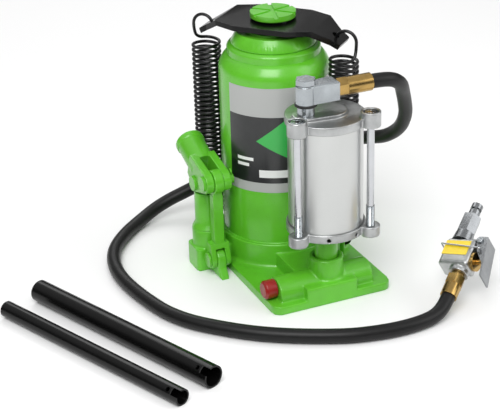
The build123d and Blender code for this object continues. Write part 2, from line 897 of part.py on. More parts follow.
neck_bottom = plunger_pin_z - plunger_eye_neck
seal_bottom = plunger_bottom + plunger_radius / 2
with BuildPart() as pump_plunger:
    with BuildSketch(pump_plane.offset(plunger_bottom)):
        Circle(plunger_radius)
    extrude(amount=neck_bottom - plunger_bottom)
    with BuildSketch(pump_plane.offset(neck_bottom)):
        Circle(plunger_radius)
        Rectangle(tongue_thick, 4 * plunger_radius, mode=Mode.INTERSECT)
    extrude(amount=plunger_eye_neck)
    with BuildSketch(link_plane):
        with Locations((plunger_pin_y, plunger_pin_z)):
            Circle(plunger_eye_radius)
    extrude(amount=tongue_thick / 2, both=True)
    with BuildSketch(link_plane):
        with Locations((plunger_pin_y, plunger_pin_z)):
            Circle(plunger_eye_bore)
    extrude(amount=tongue_thick, both=True, mode=Mode.SUBTRACT)
    with BuildSketch(pump_plane.offset(seal_bottom)):
        Circle(2 * plunger_radius)
        Circle(plunger_core_radius, mode=Mode.SUBTRACT)
    extrude(amount=plunger_radius / 2, mode=Mode.SUBTRACT)
save(pump_plunger, "pump_plunger")

with BuildPart() as plunger_seal:
    with BuildSketch(pump_plane.offset(seal_bottom)):
        Circle(plunger_radius)
        Circle(plunger_core_radius, mode=Mode.SUBTRACT)
    extrude(amount=plunger_radius / 2)
save(plunger_seal, "plunger_seal")

# ---------------------------------------------------------------- pump link
link_neck_z = upper_pin_z - ear_radius_link - link_neck_gap
with BuildPart() as link_bar:
    with BuildSketch(link_plane):
        with Locations((lower_pin_y, (lower_pin_z + link_neck_z) / 2)):
            Rectangle(link_depth, link_neck_z - lower_pin_z)
    extrude(amount=link_width / 2, both=True)
    # Above its neck the bar is as thin as the tongue, which the socket's slot lets through
    with BuildSketch(link_plane):
        with Locations((lower_pin_y, (link_neck_z + upper_pin_z) / 2)):
            Rectangle(link_depth, upper_pin_z - link_neck_z)
        with Locations((lower_pin_y, upper_pin_z)):
            Circle(tongue_radius)
    extrude(amount=tongue_thick / 2, both=True)
    with BuildSketch(link_plane):
        with Locations((lower_pin_y, lower_pin_z)):
            Circle(fork_radius)
        with BuildLine():
            Polyline(
                (lower_pin_y - fork_radius, lower_pin_z),
                (lower_pin_y - fork_radius, fork_shoulder),
                (lower_pin_y - link_depth / 2, fork_crown),
                (lower_pin_y + link_depth / 2, fork_crown),
                (lower_pin_y + fork_radius, fork_shoulder),
                (lower_pin_y + fork_radius, lower_pin_z),
                close=True,
            )
        make_face()
    extrude(amount=fork_width / 2, both=True)
    with BuildSketch(link_plane):
        with Locations((lower_pin_y, fork_slot_top / 2)):
            Rectangle(4 * fork_radius, fork_slot_top)
    extrude(amount=fork_slot / 2, both=True, mode=Mode.SUBTRACT)
    for pin_z in (lower_pin_z, upper_pin_z):
        with BuildSketch(link_plane):
            with Locations((lower_pin_y, pin_z)):
                Circle(link_pin_radius + running_gap)
        extrude(amount=fork_width, both=True, mode=Mode.SUBTRACT)
save(link_bar, "link_bar")

with BuildPart() as link_lower_pin:
    with BuildSketch(Plane.YZ.offset(pump_x - fork_width / 2 - pin_head_height)):
        with Locations((lower_pin_y, lower_pin_z)):
            Circle(pin_head_radius)
    extrude(amount=pin_head_height)
    with BuildSketch(Plane.YZ.offset(pump_x - fork_width / 2)):
        with Locations((lower_pin_y, lower_pin_z)):
            Circle(link_pin_radius)
    extrude(amount=fork_width + lower_pin_tail)
save(link_lower_pin, "link_lower_pin")

# ---------------------------------------------------------------- handle socket
tilt = math.radians(socket_tilt)
socket_plane = Plane(
    origin=(pump_x, plunger_pin_y, plunger_pin_z),
    x_dir=(0, math.cos(tilt), math.sin(tilt)),
    z_dir=(1, 0, 0),
)
link_pin_along = -arm_reach * math.cos(tilt) + arm_drop * math.sin(tilt)
link_pin_up = arm_reach * math.sin(tilt) + arm_drop * math.cos(tilt)
bore_up = socket_axis_rise * math.cos(tilt)
socket_front = Plane(
    origin=socket_plane.from_local_coords(Vector(0, bore_up, 0)),
    x_dir=(1, 0, 0),
    z_dir=socket_plane.x_dir,
)

with BuildPart() as handle_socket:
    with BuildSketch(socket_plane):
        with Locations((link_pin_along, link_pin_up)):
            Circle(ear_radius_link)
        Circle(ear_radius_plunger)
        with Locations((slot_end, bore_up)):
            Rectangle(socket_radius, socket_ear_height)
        make_hull()
    extrude(amount=socket_width / 2, both=True)
    with BuildSketch(socket_front.offset(socket_start)):
        Circle(socket_radius)
    extrude(amount=socket_mouth - socket_start)
    with BuildSketch(socket_front.offset(socket_mouth - socket_lip_length)):
        Circle(socket_lip_radius)
    extrude(amount=socket_lip_length)
    with BuildSketch(socket_front.offset(socket_mouth - socket_bore_depth)):
        Circle(socket_bore)
    extrude(amount=socket_mouth, mode=Mode.SUBTRACT)
    with BuildSketch(socket_plane):
        with Locations((slot_end - 2 * socket_mouth, 0)):
            Rectangle(4 * socket_mouth, 4 * socket_mouth)
    extrude(amount=socket_slot / 2, both=True, mode=Mode.SUBTRACT)
    for place in ((link_pin_along, link_pin_up), (0, 0)):
        with BuildSketch(socket_plane):
            with Locations(place):
                Circle(link_pin_radius + running_gap)
        extrude(amount=socket_width, both=True, mode=Mode.SUBTRACT)
save(handle_socket, "handle_socket")

cotter_x = pump_x + (socket_width + pin_tail) / 2
upper_pins = (
    ("link_upper_pin", lower_pin_y, upper_pin_z),
    ("plunger_pin", plunger_pin_y, plunger_pin_z),
)
for pin_name, pin_y, pin_z in upper_pins:
    with BuildPart() as socket_pin:
        with BuildSketch(Plane.YZ.offset(pump_x - socket_width / 2 - pin_head_height)):
            with Locations((pin_y, pin_z)):
                Circle(pin_head_radius)
        extrude(amount=pin_head_height)
        with BuildSketch(Plane.YZ.offset(pump_x - socket_width / 2)):
            with Locations((pin_y, pin_z)):
                Circle(link_pin_radius)
        extrude(amount=socket_width + pin_tail)
        with BuildSketch(upright(cotter_x, pin_y, pin_z)):
            Circle(cotter_radius + fixed_gap)
        extrude(amount=2 * link_pin_radius, both=True, mode=Mode.SUBTRACT)
    save(socket_pin, pin_name)

with BuildPart() as socket_cotters:
    for pin_name, pin_y, pin_z in upper_pins:
        with BuildSketch(upright(cotter_x, pin_y, pin_z)):
            Circle(cotter_radius)
        extrude(amount=cotter_length / 2, both=True)
        eye_centre = (cotter_x, pin_y, pin_z + cotter_length / 2)
        with BuildSketch(Plane(origin=eye_centre, z_dir=(1, 0, 0))):
            Circle(cotter_eye_radius)
        extrude(amount=cotter_eye_half, both=True)
save(socket_cotters, "socket_cotters")

# ---------------------------------------------------------------- air motor
motor_plane = upright(motor_x, motor_y, 0)
rod_places = [Vector(rod_circle, 0).rotate(Axis.Z, angle) for angle in rod_angles]
groove_bottom = barrel_bottom - barrel_groove
groove_top = barrel_top + barrel_groove
barrel_bore = barrel_radius - barrel_wall
sleeve_foot = sleeve_seat - sleeve_spigot_depth

with BuildPart() as motor_sleeve:
    with BuildSketch(motor_plane.offset(sleeve_seat)):
        Circle(sleeve_radius)
    extrude(amount=head_bottom - sleeve_seat)
    with BuildSketch(motor_plane.offset(sleeve_foot)):
        Circle(sleeve_spigot_radius)
    extrude(amount=barrel_bottom - sleeve_foot)
    with BuildSketch(motor_plane):
        Circle(air_rod_radius + running_gap)
    extrude(amount=barrel_top, mode=Mode.SUBTRACT)
save(motor_sleeve, "motor_sleeve")

with BuildPart() as motor_bottom_head:
    with BuildSketch(motor_plane.offset(head_bottom)):
        Circle(head_radius)
    extrude(amount=barrel_bottom - head_bottom)
    with BuildSketch(motor_plane.offset(bottom_lug_z)):
        with Locations(*rod_places):
            Circle(rod_lug_radius)
    extrude(amount=barrel_bottom - bottom_lug_z)
    with BuildSketch(motor_plane.offset(groove_bottom)):
        Circle(barrel_radius + fixed_gap)
        Circle(barrel_bore - fixed_gap, mode=Mode.SUBTRACT)
    extrude(amount=barrel_groove, mode=Mode.SUBTRACT)
    with BuildSketch(motor_plane):
        Circle(sleeve_spigot_radius + fixed_gap)
        with Locations(*rod_places):
            Circle(rod_radius + fixed_gap)
    extrude(amount=barrel_top, mode=Mode.SUBTRACT)
    vent_centre = Vector(motor_x, motor_y, (head_bottom + groove_bottom) / 2)
    for angle in vent_angles:
        with BuildSketch(Plane(origin=vent_centre, z_dir=Vector(1, 0).rotate(Axis.Z, angle))):
            Circle(vent_radius)
        extrude(amount=2 * head_radius, mode=Mode.SUBTRACT)
save(motor_bottom_head, "motor_bottom_head")

with BuildPart() as motor_cylinder:
    with BuildSketch(motor_plane.offset(groove_bottom + gasket_thick)):
        Circle(barrel_radius)
        Circle(barrel_bore, mode=Mode.SUBTRACT)
    extrude(amount=groove_top - groove_bottom - 2 * gasket_thick)
save(motor_cylinder, "motor_cylinder")

with BuildPart() as motor_gaskets:
    for gasket_z in (groove_bottom, groove_top - gasket_thick):
        with BuildSketch(motor_plane.offset(gasket_z)):
            Circle(barrel_radius)
            Circle(barrel_bore, mode=Mode.SUBTRACT)
        extrude(amount=gasket_thick)
save(motor_gaskets, "motor_gaskets")

with BuildPart() as motor_top_head:
    with BuildSketch(motor_plane.offset(barrel_top)):
        Circle(head_radius)
    extrude(amount=top_flange_top - barrel_top)
    with BuildSketch(motor_plane.offset(barrel_top)):
        with Locations(*rod_places):
            Circle(rod_lug_radius)
    extrude(amount=top_lug_top - barrel_top)
    with BuildSketch(upright(0, motor_y, top_flange_top)):
        with Locations((swivel_x, swivel_y - motor_y)):
            Circle(swivel_pad_radius)
        with Locations((swivel_pad_far_x, 0)):
            Circle(swivel_pad_far_radius)
        make_hull()
    extrude(amount=top_pad_top - top_flange_top)
    with BuildSketch(motor_plane.offset(barrel_top)):
        Circle(barrel_radius + fixed_gap)
        Circle(barrel_bore - fixed_gap, mode=Mode.SUBTRACT)
    extrude(amount=barrel_groove, mode=Mode.SUBTRACT)
    with BuildSketch(motor_plane):
        with Locations(*rod_places):
            Circle(rod_radius + fixed_gap)
    extrude(amount=2 * top_lug_top, mode=Mode.SUBTRACT)
    with BuildSketch(motor_plane.offset(top_lug_top)):
        with Locations(*rod_places):
            Circle(nut_pocket_radius)
    extrude(amount=-nut_pocket_depth, mode=Mode.SUBTRACT)
    with BuildSketch(upright(swivel_x, swivel_y, 0)):
        Circle(swivel_bolt_radius + fixed_gap)
    extrude(amount=2 * top_pad_top, mode=Mode.SUBTRACT)
save(motor_top_head, "motor_top_head")

nut_seat = top_lug_top - nut_pocket_depth
with BuildPart() as motor_tie_rods:
    with BuildSketch(motor_plane.offset(bottom_lug_z)):
        with Locations(*rod_places):
            Circle(rod_radius)
    extrude(amount=nut_seat + rod_nut_height - bottom_lug_z)
save(motor_tie_rods, "motor_tie_rods")

with BuildPart() as motor_rod_nuts:
    with BuildSketch(motor_plane.offset(nut_seat)):
        with Locations(*rod_places):
            RegularPolygon(rod_nut_flats / 2, 6, major_radius=False)
            Circle(rod_radius + fixed_gap, mode=Mode.SUBTRACT)
    extrude(amount=rod_nut_height)
save(motor_rod_nuts, "motor_rod_nuts")

# ---------------------------------------------------------------- inside the air motor
air_groove = air_piston_bottom + air_piston_height / 3
with BuildPart() as air_piston:
    with BuildSketch(motor_plane.offset(air_piston_bottom)):
        Circle(barrel_bore - free_gap)
    extrude(amount=air_piston_height)
    with BuildSketch(motor_plane.offset(air_groove)):
        Circle(barrel_bore)
        Circle(barrel_bore - air_seal_depth, mode=Mode.SUBTRACT)
    extrude(amount=air_piston_height / 3, mode=Mode.SUBTRACT)
    with BuildSketch(motor_plane.offset(air_piston_bottom)):
        Circle(air_rod_radius + fixed_gap)
    extrude(amount=air_piston_height / 2, mode=Mode.SUBTRACT)
save(air_piston, "air_piston")

with BuildPart() as air_piston_seal:
    with BuildSketch(motor_plane.offset(air_groove)):
        Circle(barrel_bore - running_gap)
        Circle(barrel_bore - air_seal_depth, mode=Mode.SUBTRACT)
    extrude(amount=air_piston_height / 3)
save(air_piston_seal, "air_piston_seal")

with BuildPart() as air_plunger:
    with BuildSketch(motor_plane.offset(air_rod_bottom)):
        Circle(air_rod_radius)
    extrude(amount=air_piston_bottom + air_piston_height / 2 - air_rod_bottom)
save(air_plunger, "air_plunger")

with BuildPart() as air_return_spring:
    with BuildSketch(motor_plane.offset(barrel_bottom)):
        Circle(air_spring_radius)
        Circle(air_spring_radius - air_spring_wall, mode=Mode.SUBTRACT)
    extrude(amount=air_piston_bottom - barrel_bottom)
save(air_return_spring, "air_return_spring")

# ---------------------------------------------------------------- swivel and elbow
with BuildPart() as swivel_stem:
    with BuildSketch(upright(swivel_x, swivel_y, top_pad_top)):
        Circle(stem_radius)
        Circle(swivel_bolt_radius + fixed_gap, mode=Mode.SUBTRACT)
    extrude(amount=stem_top - top_pad_top)
save(swivel_stem, "swivel_stem")

with BuildPart() as swivel_seal:
    with BuildSketch(upright(swivel_x, swivel_y, stem_top)):
        Circle(washer_radius)
        Circle(swivel_bolt_radius + fixed_gap, mode=Mode.SUBTRACT)
    extrude(amount=washer_top - stem_top)
save(swivel_seal, "swivel_seal")

swivel_port_z = (washer_top + swivel_top) / 2
fitting_start = swivel_x + swivel_reach
port_plane = Plane(origin=(fitting_start, swivel_y, swivel_port_z), z_dir=(1, 0, 0))
with BuildPart() as swivel_block:
    with BuildSketch(upright(swivel_x, swivel_y, washer_top)):
        Circle(swivel_end_radius)
        with Locations((swivel_reach / 2, 0)):
            Rectangle(swivel_reach, 2 * swivel_half)
    extrude(amount=swivel_top - washer_top)
    chamfer(swivel_block.faces().sort_by(Axis.Z)[-1].edges(), swivel_edge)
    with BuildSketch(upright(swivel_x, swivel_y, washer_top)):
        Circle(swivel_bolt_radius + fixed_gap)
    extrude(amount=swivel_top, mode=Mode.SUBTRACT)
    with BuildSketch(port_plane):
        Circle(swivel_port_radius + fixed_gap)
    extrude(amount=-(swivel_reach - swivel_bolt_radius), mode=Mode.SUBTRACT)
save(swivel_block, "swivel_block")

with BuildPart() as swivel_bolt:
    with BuildSketch(upright(swivel_x, swivel_y, top_flange_top)):
        Circle(swivel_bolt_radius)
    extrude(amount=swivel_top - top_flange_top)
    with BuildSketch(upright(swivel_x, swivel_y, swivel_top)):
        RegularPolygon(bolt_head_flats / 2, 6, major_radius=False)
    extrude(amount=bolt_head_height)
save(swivel_bolt, "swivel_bolt")

hose_start = Vector(*hose_points[0])
with BuildPart() as hose_elbow_fitting:
    with BuildSketch(port_plane.offset(-fitting_spigot_length)):
        Circle(swivel_port_radius)
    extrude(amount=fitting_spigot_length)
    with BuildSketch(port_plane):
        RegularPolygon(fitting_hex_flats / 2, 6, major_radius=False)
    extrude(amount=fitting_hex_length)
    with BuildSketch(port_plane.offset(fitting_hex_length)):
        Circle(ferrule_radius)
    extrude(amount=hose_start.X - fitting_start - fitting_hex_length)
save(hose_elbow_fitting, "hose_elbow_fitting")

# ---------------------------------------------------------------- air hose
hose_corners = [Vector(*point) for point in hose_points]
hose_radii = []
for before, corner, after in zip(hose_corners, hose_corners[1:], hose_corners[2:]):
    first_run = corner - before
    second_run = after - corner
    half_turn = math.radians(first_run.get_angle(second_run)) / 2
    shorter = min(first_run.length, second_run.length)
    hose_radii.append(hose_share * shorter / math.tan(half_turn))
print("hose radii", [round(radius) for radius in hose_radii])

with BuildPart() as air_hose:
    with BuildLine() as hose_line:
        FilletPolyline(*hose_corners, radius=hose_radii)
    hose_route = hose_line.wire()
    with BuildSketch(Plane(origin=hose_route @ 0, z_dir=hose_route % 0)):
        Circle(hose_radius)
    sweep(path=hose_route)
save(air_hose, "air_hose")
hose_section = math.pi * hose_radius**2
print("hose length", round(hose_route.length), "volume", round(air_hose.part.volume))
print("section times length", round(hose_section * hose_route.length))

# ---------------------------------------------------------------- inlet valve
valve_way = (hose_corners[-1] - hose_corners[-2]).normalized()
valve_across = valve_way.cross(Vector(0, 0, 1)).normalized()
valve_across = valve_across.rotate(Axis((0, 0, 0), valve_way), -valve_roll)
valve_end = hose_corners[-1]
# Sketches on its face lie on valve_face; its local X is u, its local Y is w, its normal is v
valve_face = Plane(origin=valve_end, x_dir=valve_across, z_dir=valve_across.cross(valve_way))


def across_valve(u: float, w: float, v: float) -> Plane:
    """A plane with its normal along w and its local X along u."""
    return Plane(
        origin=valve_face.from_local_coords(Vector(u, w, v)),
        x_dir=valve_across,
        z_dir=valve_way,
    )


def beside_valve(u: float, w: float, v: float) -> Plane:
    """A plane with its normal along u and its local X along w."""
    return Plane(
        origin=valve_face.from_local_coords(Vector(u, w, v)),
        x_dir=valve_way,
        z_dir=valve_across,
    )


with BuildPart() as valve_hose_fitting:
    with BuildSketch(across_valve(0, 0, 0)):
        Circle(valve_sleeve_radius)
    extrude(amount=valve_sleeve_length)
    with BuildSketch(across_valve(0, valve_sleeve_length, 0)):
        RegularPolygon(valve_hex_flats / 2, 6, major_radius=False)
    extrude(amount=valve_hex_length)
    with BuildSketch(across_valve(0, valve_sleeve_length, 0)):
        Circle(valve_neck_radius)
    extrude(amount=valve_port_start + valve_port_depth - valve_sleeve_length)
save(valve_hose_fitting, "valve_hose_fitting")

body_mid_u = (body_left + body_right) / 2
body_mid_w = (body_start + body_end) / 2
with BuildPart() as valve_body:
    with BuildSketch(valve_face.offset(body_back)):
        with Locations((body_mid_u, body_mid_w)):
            RectangleRounded(body_right - body_left, body_end - body_start, body_corner)
    extrude(amount=body_face - body_back)
    side_edges = valve_body.edges().filter_by(Axis((0, 0, 0), valve_across))
    fillet(side_edges, body_round)
    with BuildSketch(across_valve(0, valve_port_start, 0)):
        Circle(valve_port_radius)
    extrude(amount=body_mid_w - valve_port_start)
    with BuildSketch(across_valve(0, valve_port_start, 0)):
        Circle(valve_neck_radius + fixed_gap)
    extrude(amount=valve_port_depth + free_gap, mode=Mode.SUBTRACT)
    with BuildSketch(across_valve(nipple_u, body_end, nipple_v)):
        Circle(nipple_plug_radius + fixed_gap)
    extrude(amount=-(nipple_spigot + free_gap), mode=Mode.SUBTRACT)
    with BuildSketch(beside_valve(body_right, cartridge_w, 0)):
        Circle(cartridge_bore + fixed_gap)
    extrude(amount=-cartridge_depth, mode=Mode.SUBTRACT)
    # Lug for the lever's pin
    with BuildSketch(valve_face):
        with Locations((lever_pin_u, lever_pin_w)):
            Circle(body_lug_radius)
        with Locations(((body_right + lever_pin_u) / 2 - body_lug_radius, lever_pin_w)):
            Rectangle(lever_pin_u - body_right + 2 * body_lug_radius, 2 * body_lug_radius)
    extrude(amount=body_lug_half, both=True)
    with BuildSketch(valve_face):
        with Locations((lever_pin_u, lever_pin_w)):
            Circle(lever_pin_radius + running_gap)
    extrude(amount=2 * body_lug_half, both=True, mode=Mode.SUBTRACT)
save(valve_body, "valve_body")

with BuildPart() as valve_sticker:
    with BuildSketch(valve_face.offset(body_face)):
        with Locations(
            ((sticker_left + sticker_right) / 2, (sticker_start + sticker_end) / 2)
        ):
            Rectangle(sticker_right - sticker_left, sticker_end - sticker_start)
    extrude(amount=sticker_thick)
save(valve_sticker, "valve_sticker")

nipple_hex_start = body_end + nipple_collar
nipple_plug_start = nipple_hex_start + nipple_hex
nipple_tip = nipple_plug_start + nipple_plug
with BuildPart() as valve_nipple:
    with BuildSketch(across_valve(nipple_u, body_end - nipple_spigot, nipple_v)):
        Circle(nipple_plug_radius)
    extrude(amount=nipple_tip - body_end + nipple_spigot)
    with BuildSketch(across_valve(nipple_u, body_end, nipple_v)):
        Circle(nipple_foot_radius)
    with BuildSketch(across_valve(nipple_u, nipple_hex_start, nipple_v)):
        Circle(nipple_collar_radius)
    loft()
    with BuildSketch(across_valve(nipple_u, nipple_hex_start, nipple_v)):
        RegularPolygon(nipple_hex_flats / 2, 6, major_radius=False)
    extrude(amount=nipple_hex)
    with BuildSketch(across_valve(nipple_u, nipple_plug_start + nipple_groove_start, nipple_v)):
        Circle(2 * nipple_plug_radius)
        Circle(nipple_groove_radius, mode=Mode.SUBTRACT)
    extrude(amount=nipple_groove, mode=Mode.SUBTRACT)
    with BuildSketch(across_valve(nipple_u, nipple_tip, nipple_v)):
        Circle(nipple_bore)
    extrude(amount=-(nipple_tip - body_end + nipple_spigot), mode=Mode.SUBTRACT)
save(valve_nipple, "valve_nipple")

with BuildPart() as valve_cartridge:
    with BuildSketch(beside_valve(body_right, cartridge_w, 0)):
        Circle(cartridge_radius)
    extrude(amount=cartridge_height)
    with BuildSketch(beside_valve(body_right, cartridge_w, 0)):
        Circle(cartridge_bore)
    extrude(amount=-cartridge_depth)
    with BuildSketch(beside_valve(body_right + cartridge_height, cartridge_w, 0)):
        Circle(stem_pin_radius + running_gap)
    extrude(amount=-cartridge_depth, mode=Mode.SUBTRACT)
save(valve_cartridge, "valve_cartridge")

# ---------------------------------------------------------------- trigger lever and bail
back_top, back_bend, back_tip = (Vector(*point) for point in lever_back)
inward = Vector(-lever_thick, 0)
lever_slope = (back_tip.X - back_bend.X) / (back_bend.Y - back_tip.Y)
stem_reach = (back_bend.Y - cartridge_w - stem_pin_radius) * lever_slope
stem_tip = back_bend.X - lever_thick + stem_reach - free_gap
cheek_end_w = lever_cheek[-1][1]
cheek_end = Vector(back_bend.X + (back_bend.Y - cheek_end_w) * lever_slope, cheek_end_w)

with BuildPart() as trigger_lever:
    with BuildSketch(valve_face):
        with BuildLine():
            Polyline(
                back_top,
                back_bend,
                back_tip,
                back_tip + inward,
                back_bend + inward,
                back_top + inward,
                close=True,
            )
        make_face()
    extrude(amount=lever_half, both=True)
    for face_v in (lever_half - lever_thick, -lever_half):
        with BuildSketch(valve_face.offset(face_v)):
            with BuildLine():
                Polyline(*lever_cheek, cheek_end, back_bend, back_top, close=True)
            make_face()
            with Locations((lever_pin_u, lever_pin_w)):
                Circle(lever_pin_radius + running_gap, mode=Mode.SUBTRACT)
            with Locations(bail_pivot):
                Circle(bail_wire_radius + running_gap, mode=Mode.SUBTRACT)
        extrude(amount=lever_thick)
save(trigger_lever, "trigger_lever")

with BuildPart() as trigger_pin:
    with BuildSketch(valve_face.offset(-lever_half)):
        with Locations((lever_pin_u, lever_pin_w)):
            Circle(lever_pin_radius)
    extrude(amount=2 * lever_half)
    for face_v, height in ((lever_half, 1), (-lever_half, -1)):
        with BuildSketch(valve_face.offset(face_v)):
            with Locations((lever_pin_u, lever_pin_w)):
                Circle(lever_pin_head)
        extrude(amount=height * lever_pin_head_height)
save(trigger_pin, "trigger_pin")

with BuildPart() as valve_stem:
    with BuildSketch(beside_valve(stem_tip, cartridge_w, 0)):
        Circle(stem_pin_radius)
    extrude(amount=-(stem_tip - body_right + cartridge_depth / 2))
save(valve_stem, "valve_stem")

bail_front = body_face + sticker_thick + bail_gap + bail_wire_radius
bail_rear = body_back - bail_gap - bail_wire_radius
bail_corners = [
    (*bail_pivot, lever_half - lever_thick),
    (*bail_pivot, bail_front),
    (*bail_left, bail_front),
    (*bail_left, bail_rear),
    (*bail_pivot, bail_rear),
    (*bail_pivot, lever_thick - lever_half),
]
with BuildPart() as wire_bail:
    with BuildLine() as bail_line:
        FilletPolyline(
            *[valve_face.from_local_coords(Vector(*corner)) for corner in bail_corners],
            radius=bail_bend_radius,
        )
    bail_route = bail_line.wire()
    with BuildSketch(Plane(origin=bail_route @ 0, z_dir=bail_route % 0)):
        Circle(bail_wire_radius)
    sweep(path=bail_route)
save(wire_bail, "wire_bail")

# ---------------------------------------------------------------- loose handle tubes
loose_tubes = (
    ("handle_lower_tube", lower_tube_near, lower_tube_far, lower_tube_radius, lower_tube_wall),
    ("handle_upper_tube", upper_tube_near, upper_tube_far, upper_tube_radius, upper_tube_wall),
)
for tube_name, near_end, far_end, outer, wall in loose_tubes:
    near_place = Vector(*near_end, outer)
    far_place = Vector(*far_end, outer)
    tube_way = far_place - near_place
    notch_way = Vector(0, 0, 1).rotate(Axis((0, 0, 0), tube_way), tube_turn)
    near_plane = Plane(origin=near_place, x_dir=notch_way, z_dir=tube_way)
    with BuildPart() as loose_tube:
        with BuildSketch(near_plane):
            Circle(outer)
            Circle(outer - wall, mode=Mode.SUBTRACT)
        extrude(amount=tube_way.length)
        with BuildSketch(near_plane):
            Rectangle(2 * outer, tube_notch, align=(Align.MIN, Align.CENTER))
        extrude(amount=tube_notch_length, mode=Mode.SUBTRACT)
        hole_centre = near_plane.from_local_coords(Vector(0, 0, tube_hole_reach))
        with BuildSketch(Plane(origin=hole_centre, z_dir=near_plane.x_dir)):
            Circle(tube_hole_radius)
        extrude(amount=2 * outer, mode=Mode.SUBTRACT)
    save(loose_tube, tube_name)
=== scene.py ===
import json
import logging
import math
from dataclasses import dataclass, field
from enum import Enum

import bmesh
import bpy
import numpy as np
from mathutils import Matrix, Vector

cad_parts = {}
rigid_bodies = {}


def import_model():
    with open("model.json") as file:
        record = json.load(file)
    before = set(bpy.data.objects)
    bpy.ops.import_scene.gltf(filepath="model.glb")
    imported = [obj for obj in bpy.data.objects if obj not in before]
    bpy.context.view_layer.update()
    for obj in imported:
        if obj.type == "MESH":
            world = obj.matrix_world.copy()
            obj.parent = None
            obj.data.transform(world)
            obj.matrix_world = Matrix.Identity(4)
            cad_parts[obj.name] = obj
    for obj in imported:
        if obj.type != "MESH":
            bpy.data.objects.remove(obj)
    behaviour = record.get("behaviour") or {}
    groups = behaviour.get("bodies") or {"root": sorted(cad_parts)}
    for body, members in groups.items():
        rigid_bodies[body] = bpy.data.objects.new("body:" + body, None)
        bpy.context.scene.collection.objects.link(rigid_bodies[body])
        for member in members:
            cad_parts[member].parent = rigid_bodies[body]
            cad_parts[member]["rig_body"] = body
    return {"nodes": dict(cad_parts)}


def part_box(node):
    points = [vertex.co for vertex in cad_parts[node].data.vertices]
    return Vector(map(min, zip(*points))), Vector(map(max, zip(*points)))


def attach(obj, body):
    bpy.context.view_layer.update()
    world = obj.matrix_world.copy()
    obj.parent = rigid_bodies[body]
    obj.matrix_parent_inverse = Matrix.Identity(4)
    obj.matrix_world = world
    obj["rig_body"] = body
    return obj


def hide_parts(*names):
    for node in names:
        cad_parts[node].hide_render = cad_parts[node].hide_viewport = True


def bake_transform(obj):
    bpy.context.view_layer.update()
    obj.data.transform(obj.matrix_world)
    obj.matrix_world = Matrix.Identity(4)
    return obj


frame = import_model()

LOG = logging.getLogger("jack")
MM = 0.001
UP = (0.0, 0.0, 1.0)
WELD = 1e-6  # points of a mesh that lie closer than this are one point
CREASE = math.radians(38)  # between two faces, from which a made piece shows a sharp edge
Point = tuple[float, float, float]
Colour = tuple[float, float, float]

# What all finishes share
NOISE_DETAIL = 4.0
TONE_STOPS = (0.35, 0.65)
COAT_ROUGHNESS = 0.12
LEAST_ROUGHNESS = 0.04
ROUGHNESS_SPREAD = 0.25
BUMP_DISTANCE = 0.0006

# A thread's rows in one turn, and how straight its flanks are, from 1 downwards
THREAD_STEPS = 8
THREAD_FLANK = 0.8

# How the copies of the solids are cleaned and edged
COPY_WELD = 2e-6
FLAT = math.radians(0.6)
SHARP = math.radians(32)
BEVELLED = math.radians(34)
BEVEL_STEPS = 2
RELAX_STEPS = 7


# ------------------------------------------------------------------ finishes
class Grain(Enum):
    """How a finish's grain runs: how far its pattern is squeezed along X, Y and Z."""

    EVEN = (1.0, 1.0, 1.0)
    TURNED = (0.05, 0.05, 3.0)
    DRAWN = (2.0, 2.0, 0.03)


